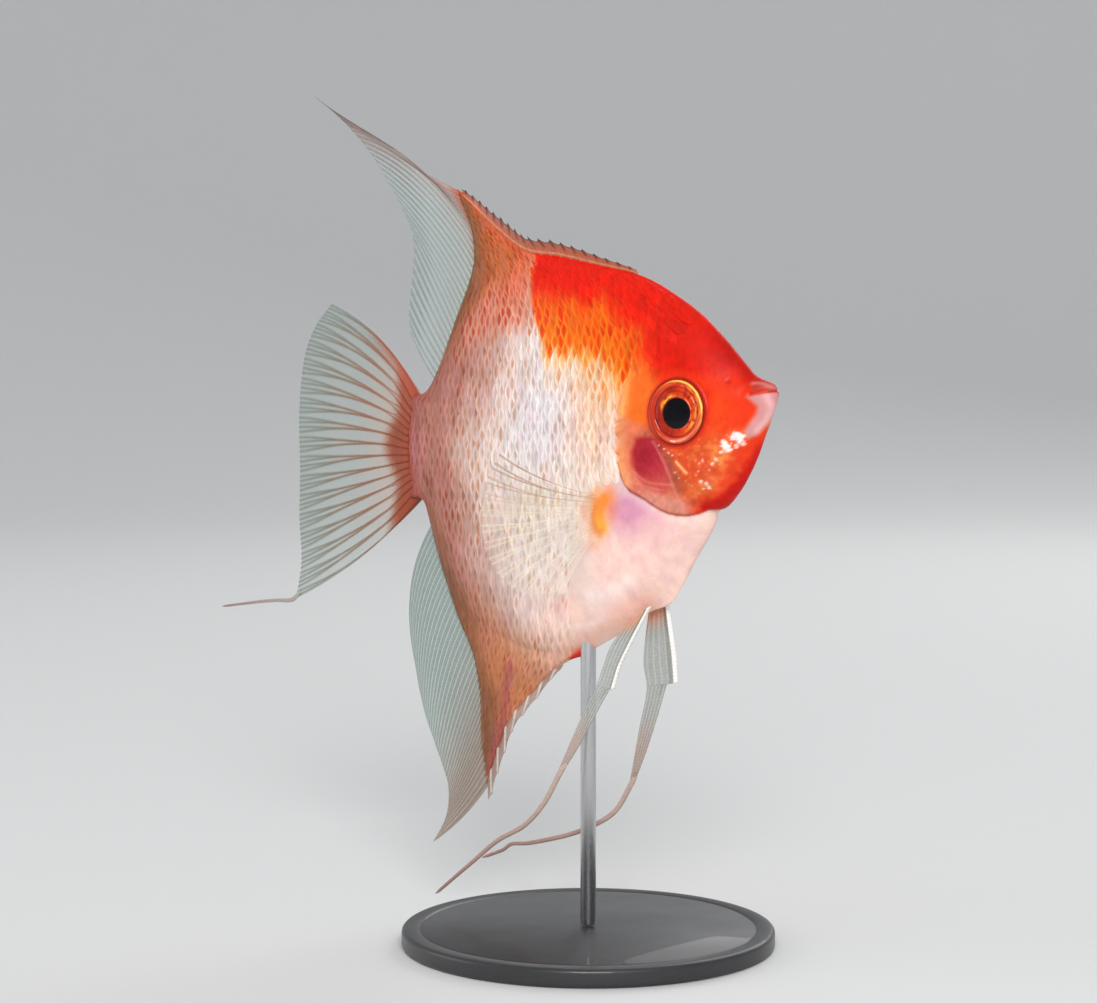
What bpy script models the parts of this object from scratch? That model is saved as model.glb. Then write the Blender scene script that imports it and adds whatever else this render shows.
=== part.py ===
"""Freshwater angelfish (Pterophyllum scalare), a life-size still model on a plain display stand.

The fish is laid out on its own chart. u is the distance behind the snout tip, measured along the bent mid
line, and w is the height above the snout tip, both in standard lengths. v is the offset to the fish's left,
in metres. place() turns a chart point into space. The snout points along +X and +Z is up.
"""

import math

import bpy
import numpy as np

# Driving dimensions, in metres.
STANDARD_LENGTH = 0.075  # snout tip to the base of the tail fin
SNOUT_HEIGHT = 0.0895  # above the floor
ROD_CHART = (0.47, -0.564)  # where the stand's rod meets the belly
GAP = 0.0003  # between neighbouring solids
TAIL_BEND_START = 0.45  # u where the mid line begins to turn to the fish's left
TAIL_BEND = math.radians(12)  # turn reached at the tail base

# Body outline, as chart points. Each edge is a smooth curve, and edges meet at corners.
UPPER_EDGE = (  # snout, nape, back, and the front of the scaled dorsal lobe
    (0.000, 0.000), (0.010, 0.016), (0.030, 0.026), (0.056, 0.037), (0.085, 0.066), (0.135, 0.116),
    (0.190, 0.163), (0.265, 0.209), (0.340, 0.241), (0.440, 0.262), (0.546, 0.283), (0.640, 0.296),
    (0.725, 0.345), (0.790, 0.392), (0.846, 0.430),
)
DORSAL_LOBE_REAR = (  # rear of the scaled dorsal lobe, down to the tail stalk
    (0.846, 0.430), (0.812, 0.370), (0.795, 0.315), (0.796, 0.262), (0.824, 0.196), (0.866, 0.105),
    (0.905, 0.032), (0.945, -0.016), (1.000, -0.026),
)
TAIL_BASE = ((1.000, -0.026), (1.014, -0.085), (1.018, -0.144), (1.014, -0.203), (1.000, -0.262))
ANAL_LOBE_REAR = (  # under the tail stalk and down the rear of the scaled anal lobe
    (1.000, -0.262), (0.955, -0.262), (0.930, -0.315), (0.898, -0.405), (0.850, -0.510), (0.800, -0.597),
    (0.779, -0.690), (0.776, -0.790), (0.758, -0.888),
)
LOWER_EDGE = (  # front of the anal lobe, belly, pelvic base, breast
    (0.758, -0.888), (0.722, -0.806), (0.678, -0.726), (0.612, -0.660), (0.546, -0.602), (0.440, -0.550),
    (0.352, -0.500), (0.312, -0.470), (0.262, -0.450), (0.236, -0.420), (0.196, -0.350), (0.158, -0.290),
    (0.142, -0.246),
)
CHIN = ((0.142, -0.246), (0.118, -0.232), (0.080, -0.192), (0.048, -0.136), (0.026, -0.078), (0.008, -0.024),
        (0.000, 0.000))
HUB = (0.490, -0.120)  # every point of the outline is in plain sight of this point

# Flank thickness. Each row is u, half thickness at mid height, mid height, half height of the muscle.
FLANK = (
    (-0.02, 0.026, -0.012, 0.060),
    (0.05, 0.043, -0.050, 0.130),
    (0.12, 0.065, -0.070, 0.215),
    (0.20, 0.083, -0.095, 0.290),
    (0.30, 0.096, -0.115, 0.350),
    (0.42, 0.097, -0.135, 0.400),
    (0.56, 0.088, -0.150, 0.420),
    (0.70, 0.070, -0.150, 0.390),
    (0.84, 0.051, -0.150, 0.320),
    (0.93, 0.036, -0.147, 0.230),
    (1.02, 0.026, -0.144, 0.170),
)
EDGE_HALF = 0.020  # half thickness where the muscle ends at the back and belly
LOBE_HALF = 0.0085  # half thickness of the scaled fin lobes
LOBE_TAPER = 0.16  # height over which the one thins to the other
RIM_START = 0.80  # share of the way from hub to outline where the edge begins to round off

# Cuts that part the body, as chart points that begin and end outside the outline.
GILL_OPENING = (
    (0.285, 0.290), (0.306, 0.160), (0.330, 0.020), (0.352, -0.120), (0.343, -0.192), (0.300, -0.225),
    (0.240, -0.248), (0.185, -0.259), (0.145, -0.257), (0.080, -0.270),
)
DORSAL_LOBE_CUT = (
    (0.375, 0.320), (0.400, 0.240), (0.480, 0.240), (0.560, 0.250), (0.700, 0.245), (0.870, 0.195),
)
ANAL_LOBE_CUT = ((0.530, -0.660), (0.558, -0.585), (0.620, -0.580), (0.700, -0.585), (0.900, -0.520))
TAIL_CUT = ((0.915, 0.120), (0.915, -0.150), (0.915, -0.420))
FAR = 0.35  # how far the parting regions reach past the outline
CUTTER_HALF = 0.016  # half width of the parting regions, past the thickest flank

GILL_COVER = (
    (0.305, 0.030), (0.284, -0.040), (0.264, -0.105), (0.215, -0.150), (0.178, -0.205), (0.168, -0.250),
    (0.195, -0.290), (0.400, -0.260), (0.420, 0.020),
)
GILL_COVER_REACH = 0.10  # least distance from its centre to its edge, in standard lengths
GILL_COVER_THICKNESS = 0.0010
LOWER_JAW = (
    (-0.080, 0.006), (0.030, -0.002), (0.056, -0.010), (0.068, -0.060), (0.054, -0.112), (-0.080, -0.124),
)

EYE_CHART = (0.198, -0.041)
EYE_RADIUS = 0.0049
EYE_OFFSET = 0.0052  # of the eye's centre from the mid plane
EYE_HALF_THICKNESS = 0.0021

RAY_HALF = 0.00040  # half thickness of a fin ray
WEB_HALF = 0.00026  # half thickness of the membrane between rays
FIN_WAVE = 0.0006  # sideways wave of the fin edges
PECTORAL_ROOT = 0.0010  # how deep the root line of the pectoral fins lies under the flank
PECTORAL_STAND_OFF = 0.0046  # rise of their edge from the root line's depth
PELVIC_ROOT_OFFSET = 0.0022  # of the pelvic fins' roots from the mid plane
PELVIC_SPREAD = 0.0058  # of their blades' tips and their threads from the mid plane
FRINGE_ROOT = 0.020  # how deep the spine fringes reach into the body, in standard lengths

# Stand.
BASE_RADIUS = 0.030
BASE_HEIGHT = 0.0030
BASE_BEVEL = 0.0007
ROD_RADIUS = 0.00125
ROD_DEPTH_IN_BODY = 0.006

WHITE, RED, ORANGE = (0.93, 0.80, 0.74), (0.80, 0.10, 0.02), (0.88, 0.42, 0.20)


# ------------------------------------------------------------------------- chart and space


def mid_line(u):
    """Plan-view x and y in metres of the mid line, and its turn, u standard lengths behind the snout."""
    u = np.asarray(u, float)
    bent = np.clip(u, TAIL_BEND_START, 1.0) - TAIL_BEND_START
    rate = TAIL_BEND / (1.0 - TAIL_BEND_START)
    turn = rate * bent
    straight = np.minimum(u, TAIL_BEND_START)
    beyond = np.maximum(u - 1.0, 0.0)
    x = -(straight + np.sin(turn) / rate + beyond * np.cos(turn))
    y = (1.0 - np.cos(turn)) / rate + beyond * np.sin(turn)
    return x * STANDARD_LENGTH, y * STANDARD_LENGTH, turn


def place(u, w, v=0.0):
    """Space points, in metres from the snout tip, of chart points."""
    x, y, turn = mid_line(u)
    points = np.broadcast_arrays(x + v * np.sin(turn), y + v * np.cos(turn), np.asarray(w) * STANDARD_LENGTH)
    return np.stack(points, axis=-1)


def curve(knots, count):
    """count points spaced evenly along the Catmull-Rom curve through the knots."""
    p = np.asarray(knots, float)
    p = np.vstack([2 * p[0] - p[1], p, 2 * p[-1] - p[-2]])
    s = np.linspace(0, 1, 24, endpoint=False)[:, None]
    spans = []
    for a, b, c, d in zip(p[:-3], p[1:-2], p[2:-1], p[3:]):
        square, cube = 2 * a - 5 * b + 4 * c - d, 3 * b - a - 3 * c + d
        spans.append(0.5 * (2 * b + (c - a) * s + square * s**2 + cube * s**3))
    fine = np.vstack(spans + [p[-2:-1]])
    along = np.concatenate([[0], np.cumsum(np.linalg.norm(np.diff(fine, axis=0), axis=1))])
    at = np.linspace(0, along[-1], count)
    return np.stack([np.interp(at, along, axis) for axis in fine.T], axis=1)


def outline(spacing):
    """The closed body outline as chart points about spacing apart, from the snout over the back."""
    edges = []
    for knots in (UPPER_EDGE, DORSAL_LOBE_REAR, TAIL_BASE, ANAL_LOBE_REAR, LOWER_EDGE, CHIN):
        length = np.linalg.norm(np.diff(curve(knots, 60), axis=0), axis=1).sum()
        edges.append(curve(knots, max(3, round(length / spacing) + 1))[:-1])
    return np.vstack(edges)


RIM = outline(0.01) - HUB
RIM_ANGLE = np.unwrap(np.arctan2(RIM[:, 1], RIM[:, 0]))
RIM_RADIUS = np.hypot(RIM[:, 0], RIM[:, 1])
FLANK_FINE = curve(FLANK, 300)


def rim_share(u, w):
    """How far each chart point lies on its way from the hub (0) to the outline (1)."""
    du, dw = np.asarray(u) - HUB[0], np.asarray(w) - HUB[1]
    low = RIM_ANGLE.min()
    angle = low + np.mod(np.arctan2(dw, du) - low, 2 * math.pi)
    order = np.argsort(RIM_ANGLE)
    radius = np.interp(angle, RIM_ANGLE[order], RIM_RADIUS[order], period=2 * math.pi)
    return np.hypot(du, dw) / radius


def half_thickness(u, w, share=None):
    """Half thickness of the body in metres: a lens of muscle that thins to the rounded back and belly."""
    half, middle, height = (np.interp(u, FLANK_FINE[:, 0], FLANK_FINE[:, k]) for k in (1, 2, 3))
    away = np.abs(w - middle)
    rise = np.clip(away / height, 0, 1)
    edge = np.clip(EDGE_HALF + (LOBE_HALF - EDGE_HALF) * (away - height) / LOBE_TAPER, LOBE_HALF, EDGE_HALF)
    edge = np.minimum(edge, half)
    lens = edge + (half - edge) * (1 - rise**2) ** 0.75
    share = rim_share(u, w) if share is None else share
    round_off = np.clip((share - RIM_START) / (1 - RIM_START), 0, 1)
    return STANDARD_LENGTH * lens * np.sqrt(1 - round_off**2)


# ------------------------------------------------------------------------- Blender helpers


def clear_scene():
    for obj in list(bpy.data.objects):
        bpy.data.objects.remove(obj)


def material(name, colour, roughness=0.4, metallic=0.0):
    made = bpy.data.materials.new(name)
    made.use_nodes = True
    shader = made.node_tree.nodes["Principled BSDF"]
    shader.inputs["Base Color"].default_value = (*colour, 1.0)
    shader.inputs["Roughness"].default_value = roughness
    shader.inputs["Metallic"].default_value = metallic
    return made


def add_object(name, points, faces, parent, colour=None, roughness=0.4, metallic=0.0):
    """A named object with this mesh. Without a colour it is a hidden cutter."""
    mesh = bpy.data.meshes.new(name)
    mesh.from_pydata([tuple(p) for p in np.asarray(points, float)], [], [tuple(map(int, f)) for f in faces])
    mesh.update()
    obj = bpy.data.objects.new(name, mesh)
    bpy.context.scene.collection.objects.link(obj)
    obj.parent = parent
    if colour is None:
        obj.hide_render = True
        obj.display_type = "WIRE"
    else:
        mesh.shade_smooth()
        mesh.set_sharp_from_angle(angle=math.radians(40))
        mesh.materials.append(material(name, colour, roughness, metallic))
    return obj


def boolean(obj, other, operation):
    """Adds an exact Boolean with the other object."""
    modifier = obj.modifiers.new(f"{operation.lower()} {other.name}", "BOOLEAN")
    modifier.operation = operation
    modifier.solver = "EXACT"
    modifier.object = other
    return obj


def lathe_faces(rings, sides):
    """Faces of a closed body of rings of equal size with a pole at each end: first pole, rings, last pole."""
    first, last = 0, 1 + rings * sides
    faces = [(first, 1 + (k + 1) % sides, 1 + k) for k in range(sides)]
    for r in range(rings - 1):
        low, high = 1 + r * sides, 1 + (r + 1) * sides
        for k in range(sides):
            after = (k + 1) % sides
            faces += [(low + k, low + after, high + after), (low + k, high + after, high + k)]
    low = 1 + (rings - 1) * sides
    faces += [(low + k, low + (k + 1) % sides, last) for k in range(sides)]
    return faces


# ------------------------------------------------------------------------------------ body


def body_mesh(margin=0.0, spacing=0.058):
    """Points and faces of the whole body, grown on every side by margin in metres."""
    rim = outline(spacing)
    before, after = np.roll(rim, 1, axis=0), np.roll(rim, -1, axis=0)
    along = after - before
    outward = np.stack([along[:, 1], -along[:, 0]], axis=1) / np.linalg.norm(along, axis=1)[:, None]
    centre = np.asarray(HUB)
    outward *= np.sign((outward * (rim - centre)).sum(1).mean())
    grown = rim + outward * margin / STANDARD_LENGTH
    shares = (0.30, 0.55, 0.74, 0.87, 0.96)
    layers = []
    for side in (-1, 1):
        layer = [place(*HUB, side * (half_thickness(*HUB) + margin))[None]]
        for share in shares:
            u, w = (centre + (rim - centre) * share).T
            gu, gw = (centre + (grown - centre) * share).T
            layer.append(place(gu, gw, side * (half_thickness(u, w, share) + margin)))
        layers.append(layer)
    edge = place(*grown.T)
    right, left = layers
    points = np.vstack(right + [edge] + left[:0:-1] + [left[0]])
    faces = lathe_faces(2 * len(shares) + 1, len(rim))
    return points, faces


def oriented(points, faces):
    """The faces, turned round if the closed mesh they make is inside out."""
    volume = 0.0
    for face in faces:
        a = points[face[0]]
        for b, c in zip(face[1:-1], face[2:]):
            volume += float(np.dot(a, np.cross(points[b], points[c])))
    return faces if volume > 0 else [tuple(reversed(face)) for face in faces]


def body_object(name, parent, margin=0.0, colour=None):
    points, faces = body_mesh(margin)
    return add_object(name, points, oriented(points, faces), parent, colour, 0.35)


def shifted(knots, distance):
    """The open chart line through the knots, moved sideways by a distance in metres."""
    line = curve(knots, 2 * len(knots)) if len(knots) > 3 else np.asarray(knots, float)
    along = np.gradient(line, axis=0)
    normal = np.stack([-along[:, 1], along[:, 0]], axis=1) / np.linalg.norm(along, axis=1)[:, None]
    return line + normal * distance / STANDARD_LENGTH


def prism(name, polygon, parent, sides=(-1, 1)):
    """A hidden block whose side view is the chart polygon, right across the body or to one side only."""
    polygon = np.asarray(polygon, float)
    low, high = (0.0 if s == 0 else s * CUTTER_HALF for s in sides)
    near, far = place(*polygon.T, low), place(*polygon.T, high)
    count = len(polygon)
    faces = [tuple(range(count)), tuple(range(2 * count - 1, count - 1, -1))]
    faces += [(k, k + count, (k + 1) % count + count, (k + 1) % count) for k in range(count)]
    points = np.vstack([near, far])
    return add_object(name, points, oriented(points, faces), parent)


def body_parts(fish):
    """Head, trunk, scaled fin lobes and tail stalk: the body's solid within one region each."""
    half = GAP / 2
    gill_front, gill_rear = shifted(GILL_OPENING, -half), shifted(GILL_OPENING, half)
    dorsal_low, dorsal_high = shifted(DORSAL_LOBE_CUT, -half), shifted(DORSAL_LOBE_CUT, half)
    anal_low, anal_high = shifted(ANAL_LOBE_CUT, -half), shifted(ANAL_LOBE_CUT, half)
    tail_front, tail_rear = shifted(TAIL_CUT, -half), shifted(TAIL_CUT, half)
    regions = {
        "head": np.vstack([gill_front, [(-FAR, -0.270), (-FAR, 0.290)]]),
        "dorsal_fin_base": np.vstack([dorsal_high, [(1.0, 0.6), (0.375, 0.6)]]),
        "anal_fin_base": np.vstack([anal_low, [(0.9, -1.1), (0.5, -1.1)]]),
        "tail_stalk": np.vstack([tail_rear, [(1.2, -0.42), (1.2, 0.12)]]),
        "trunk": np.vstack([gill_rear, [(0.080, -0.69)], anal_high, tail_front[::-1], dorsal_low[::-1],
                            [(0.285, 0.34)]]),
    }
    parts = {}
    for name, polygon in regions.items():
        parts[name] = body_object(name, fish, colour={"head": RED, "trunk": WHITE}.get(name, ORANGE))
        boolean(parts[name], prism(f"region_{name}", polygon, fish), "INTERSECT")
    return parts


def gill_covers(fish, head):
    """The two gill cover plates, and the pockets that they lie in."""
    core = body_object("core_under_gill_covers", fish, -GILL_COVER_THICKNESS)
    pocket_floor = body_object("floor_of_gill_pockets", fish, -GILL_COVER_THICKNESS - GAP)
    head_region = bpy.data.objects["region_head"]
    polygon = curve(GILL_COVER + GILL_COVER[:1], 19)[:-1]
    centre = polygon.mean(axis=0)
    wider = centre + (polygon - centre) * (1 + GAP / (GILL_COVER_REACH * STANDARD_LENGTH))
    for name, sides in (("right", (-1, 0)), ("left", (0, 1))):
        cover = body_object(f"gill_cover_{name}", fish, colour=(0.78, 0.22, 0.14))
        boolean(cover, head_region, "INTERSECT")
        boolean(cover, prism(f"region_gill_cover_{name}", polygon, fish, sides), "INTERSECT")
        boolean(cover, core, "DIFFERENCE")
        pocket = prism(f"pocket_{name}", wider, fish, sides)
        boolean(pocket, pocket_floor, "DIFFERENCE")
        boolean(head, pocket, "DIFFERENCE")


def lower_jaw(fish, head):
    """The lower jaw, parted from the head along the mouth and behind the lip."""
    jaw = body_object("lower_jaw", fish, colour=(0.85, 0.32, 0.25))
    boolean(jaw, bpy.data.objects["region_head"], "INTERSECT")
    boolean(jaw, prism("region_lower_jaw", LOWER_JAW, fish), "INTERSECT")
    corner = np.asarray(LOWER_JAW)
    grow = np.array([[0, 1], [0, 1], [1, 1], [1, 0], [1, 0], [0, 0]]) * GAP / STANDARD_LENGTH
    boolean(head, prism("room_for_lower_jaw", corner + grow, fish), "DIFFERENCE")


def spheroid(name, fish, centre, radius, half_height, colour=None, sides=20, rings=6):
    """A ball flattened across the body, its poles pointing left and right."""
    points = [centre - np.array([0, half_height, 0])]
    for k in range(1, rings + 1):
        angle = math.pi * k / (rings + 1)
        for s in range(sides):
            turn = 2 * math.pi * s / sides
            ring = radius * math.sin(angle)
            points.append(centre + np.array([ring * math.cos(turn), -half_height * math.cos(angle),
                                             ring * math.sin(turn)]))
    points.append(centre + np.array([0, half_height, 0]))
    points = np.array(points)
    return add_object(name, points, oriented(points, lathe_faces(rings, sides)), fish, colour, 0.1)


def eyes(fish, head):
    for name, side in (("right", -1), ("left", 1)):
        centre = place(*EYE_CHART, side * EYE_OFFSET)
        spheroid(f"eye_{name}", fish, centre, EYE_RADIUS, EYE_HALF_THICKNESS, (0.55, 0.12, 0.03))
        socket = spheroid(f"socket_{name}", fish, centre, EYE_RADIUS + GAP, EYE_HALF_THICKNESS + GAP)
        boolean(head, socket, "DIFFERENCE")


# ------------------------------------------------------------------------------------ fins


def plate(name, fish, middle, half, colour):
    """A thin solid from a grid of chart points (u, w, v) and the half thickness at each, in metres."""
    columns, rows = half.shape
    u, w, v = np.moveaxis(middle, -1, 0)
    points = np.vstack([place(u, w, v - half).reshape(-1, 3), place(u, w, v + half).reshape(-1, 3)])
    other = columns * rows
    faces = []
    for c in range(columns - 1):
        for r in range(rows - 1):
            a, b = c * rows + r, (c + 1) * rows + r
            faces += [(a, b, b + 1, a + 1), (other + a + 1, other + b + 1, other + b, other + a)]
    border = [c * rows for c in range(columns)]
    border += [(columns - 1) * rows + r for r in range(1, rows)]
    border += [c * rows + rows - 1 for c in range(columns - 2, -1, -1)]
    border += list(range(rows - 2, 0, -1))
    for a, b in zip(border, border[1:] + border[:1]):
        faces.append((b, a, other + a, other + b))
    return add_object(name, points, oriented(points, faces), fish, colour, 0.45)


def fan(root, tip, rays, steps, bow, lift, notch=0.02, thick_root=1.6):
    """Grid of chart points and half thicknesses of a fin of rays from the root curve to the tip curve.

    Columns alternate between a ray and the web beside it. bow curves the first and the last ray sideways by
    that share of its length, lift(u, w, t, s) gives v in metres, t across the fin and s along it, and notch
    draws the web in at the edge by that share of the ray.
    """
    columns = 2 * rays - 1
    t = np.linspace(0, 1, columns)[:, None]
    s = np.linspace(0, 1, steps + 1)[None]
    is_ray = (np.arange(columns) % 2 == 0)[:, None]
    start, end = curve(root, columns), curve(tip, columns)
    reach = (end - start)[:, None]
    along = (s * np.where(is_ray, 1.0, 1.0 - notch))[..., None]
    side = np.stack([-reach[..., 1], reach[..., 0]], axis=-1)
    bend = (bow[0] + (bow[1] - bow[0]) * t)[..., None]
    chart = start[:, None] + reach * along + side * bend * 4 * along * (1 - along)
    v = lift(chart[..., 0], chart[..., 1], t, s) * np.ones_like(t * s)
    half = np.where(is_ray, RAY_HALF, WEB_HALF) * (thick_root + (1 - thick_root) * s)
    return np.concatenate([chart, v[..., None]], axis=-1), np.maximum(half, WEB_HALF)


def median_fins(fish, grown_body):
    """Dorsal, anal and tail fins, set off from the body by the gap. Each waves a little to the sides."""
    orange, clear = (0.85, 0.55, 0.45), (0.80, 0.78, 0.72)

    def wave(u, w, t, s):
        return FIN_WAVE * np.sin(2.4 * math.pi * t + 1.0) * s**2

    fins = {
        "dorsal_fin": (clear, fan(
            ((0.832, 0.424), (0.800, 0.360), (0.783, 0.300), (0.795, 0.240), (0.835, 0.155), (0.915, 0.000)),
            ((1.055, 0.512), (1.050, 0.450), (1.010, 0.395), (0.988, 0.330), (1.012, 0.230), (1.010, 0.130),
             (0.965, 0.040)),
            11, 6, bow=(0.0, -0.04), lift=wave,
        )),
        "anal_fin": (clear, fan(
            ((0.925, -0.300), (0.880, -0.420), (0.832, -0.520), (0.782, -0.610), (0.765, -0.720),
             (0.760, -0.800), (0.742, -0.868)),
            ((0.975, -0.318), (1.003, -0.440), (1.007, -0.580), (0.975, -0.713), (0.913, -0.808),
             (0.876, -0.900), (0.892, -0.965), (0.938, -1.032)),
            13, 5, bow=(-0.04, -0.05), lift=wave,
        )),
        "caudal_fin": (orange, fan(
            ((0.965, -0.046), (0.985, -0.100), (0.988, -0.144), (0.985, -0.190), (0.965, -0.244)),
            ((1.300, 0.178), (1.360, 0.130), (1.400, 0.060), (1.411, -0.050), (1.408, -0.200),
             (1.424, -0.330), (1.425, -0.430), (1.445, -0.520)),
            14, 6, bow=(0.08, -0.04), lift=wave, notch=0.03, thick_root=1.8,
        )),
    }
    for name, (colour, (middle, half)) in fins.items():
        boolean(plate(name, fish, middle, half, colour), grown_body, "DIFFERENCE")


def spine_fringe(name, fish, fin_base, edge, stretch, count, heights, lean):
    """Joins to a fin base a low saw-edged fringe of short spines, each leaning towards the tail."""
    line = curve(edge, 400)
    line = line[int(stretch[0] * 400):int(stretch[1] * 400)]
    line = line[np.linspace(0, len(line) - 1, 2 * count + 1).astype(int)]
    along = np.gradient(line, axis=0)
    along /= np.linalg.norm(along, axis=1)[:, None]
    outward = np.stack([-along[:, 1], along[:, 0]], axis=1)
    outward *= np.sign((outward * (line - HUB)).sum(1).mean())
    height = np.interp(np.linspace(0, 1, len(line)), (0, 0.5, 1), heights)[:, None]
    tooth = np.where(np.arange(len(line)) % 2 == 1, 1.0, 0.45)[:, None]
    root = line - outward * FRINGE_ROOT
    tip = line + (outward + along * lean) * height * tooth
    middle = np.stack([root, line, tip], axis=1)
    middle = np.concatenate([middle, np.zeros(middle.shape[:2] + (1,))], axis=-1)
    half = np.broadcast_to(np.array([WEB_HALF / 2, RAY_HALF, WEB_HALF]), middle.shape[:2]).copy()
    boolean(fin_base, plate(name, fish, middle, half, None), "UNION")


def pectoral_fins(fish, grown_body):
    """The two fans behind the gill openings, lying back along the flank and standing a little off it."""
    root = ((0.364, -0.222), (0.369, -0.254), (0.376, -0.291))
    tip = ((0.601, -0.134), (0.640, -0.190), (0.662, -0.265), (0.660, -0.338), (0.625, -0.400),
           (0.549, -0.436), (0.449, -0.428))
    for name, side in (("right", -1), ("left", 1)):
        def lift(u, w, t, s, side=side):
            return side * (half_thickness(u, w) - PECTORAL_ROOT + PECTORAL_STAND_OFF * s**0.7)

        middle, half = fan(root, tip, 9, 7, bow=(-0.06, 0.06), lift=lift, thick_root=1.8)
        fin = plate(f"pectoral_fin_{name}", fish, middle, half, (0.90, 0.62, 0.40))
        boolean(fin, grown_body, "DIFFERENCE")


def pelvic_fins(fish, grown_body):
    """The two feelers under the breast: a blade with a hard spine in front, then a long thread."""
    blades = {  # front edge along the spine, front edge below its tip, rear edge
        "right": (((0.290, -0.450), (0.315, -0.497), (0.337, -0.540), (0.356, -0.580), (0.369, -0.628)),
                  ((0.383, -0.634), (0.409, -0.683), (0.445, -0.752), (0.478, -0.806)),
                  ((0.350, -0.490), (0.384, -0.538), (0.398, -0.575), (0.414, -0.625), (0.448, -0.699),
                   (0.490, -0.806))),
        "left": (((0.286, -0.445), (0.280, -0.505), (0.275, -0.560), (0.275, -0.618)),
                 ((0.303, -0.624), (0.336, -0.705), (0.370, -0.780), (0.400, -0.838)),
                 ((0.335, -0.470), (0.349, -0.532), (0.357, -0.585), (0.354, -0.641), (0.380, -0.725),
                  (0.413, -0.840))),
    }
    threads = {
        "right": ((0.488, -0.814), (0.530, -0.884), (0.583, -0.938), (0.656, -0.980), (0.730, -1.038),
                  (0.839, -1.123)),
        "left": ((0.411, -0.850), (0.448, -0.908), (0.496, -0.943), (0.579, -0.979), (0.696, -1.012),
                 (0.754, -1.022), (0.785, -1.040), (0.852, -1.066)),
    }
    for name, side in (("right", -1), ("left", 1)):
        spine, below, rear = blades[name]
        rows, spine_rows, columns = 12, 6, 3
        front = np.vstack([curve(spine, spine_rows), curve(below, rows - spine_rows)])
        back = curve(rear, rows)
        share = np.linspace(0, 1, columns)[:, None, None]
        chart = front * (1 - share) + back * share
        v = side * np.linspace(PELVIC_ROOT_OFFSET, PELVIC_SPREAD, rows) * np.ones((columns, 1))
        half = np.linspace(1.5 * RAY_HALF, RAY_HALF, rows) * np.array([[1.0], [0.9], [0.7]])
        blade = plate(f"pelvic_fin_{name}", fish, np.concatenate([chart, v[..., None]], axis=-1), half,
                      (0.85, 0.80, 0.74))
        boolean(blade, grown_body, "DIFFERENCE")
        strand(f"pelvic_thread_{name}", fish, [(u, w, side * PELVIC_SPREAD) for u, w in threads[name]],
               (0.0009, 0.0008, 0.0007, 0.00055), (0.0007, 0.0006, 0.0005), (0.80, 0.72, 0.68), 20)


def strand(name, fish, path, widths, thicknesses, colour, stations, sides=5):
    """A tapering blade or thread swept along a path of chart points (u, w, v in metres)."""
    line = curve([(u, w, v / STANDARD_LENGTH) for u, w, v in path], stations)
    centre = place(line[:, 0], line[:, 1], line[:, 2] * STANDARD_LENGTH)
    share = np.linspace(0, 1, stations)
    wide = np.interp(share, np.linspace(0, 1, len(widths)), widths) / 2
    thick = np.interp(share, np.linspace(0, 1, len(thicknesses)), thicknesses) / 2
    along = np.gradient(centre, axis=0)
    along /= np.linalg.norm(along, axis=1)[:, None]
    across = np.cross(along, (0.0, 1.0, 0.0))
    across /= np.linalg.norm(across, axis=1)[:, None]
    flat = np.cross(across, along)
    points = [centre[0] - along[0] * 0.0001]
    for k in range(stations):
        for s in range(sides):
            turn = 2 * math.pi * s / sides
            offset = across[k] * wide[k] * math.cos(turn) + flat[k] * thick[k] * math.sin(turn)
            points.append(centre[k] + offset)
    points.append(centre[-1] + along[-1] * 0.0002)
    points = np.array(points)
    return add_object(name, points, oriented(points, lathe_faces(stations, sides)), fish, colour, 0.35)


def streamers(fish):
    """The long tips of the dorsal and tail fins."""
    strand("dorsal_streamer", fish, ((1.066, 0.491, 0.0), (1.110, 0.519, 0.0), (1.183, 0.565, 0.0),
                                     (1.257, 0.609, 0.0), (1.313, 0.637, 0.0), (1.363, 0.660, 0.0)),
           (0.0036, 0.0024, 0.0016, 0.0011, 0.0006), (0.0007, 0.0006, 0.0005), (0.80, 0.60, 0.55), 10)
    strand("caudal_filament", fish, ((1.452, -0.523, 0.0), (1.520, -0.530, 0.0), (1.602, -0.541, 0.0),
                                     (1.739, -0.562, 0.0)),
           (0.0010, 0.0006, 0.0005), (0.0006, 0.0005), (0.80, 0.70, 0.65), 9)


# ----------------------------------------------------------------------------------- stand


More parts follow.
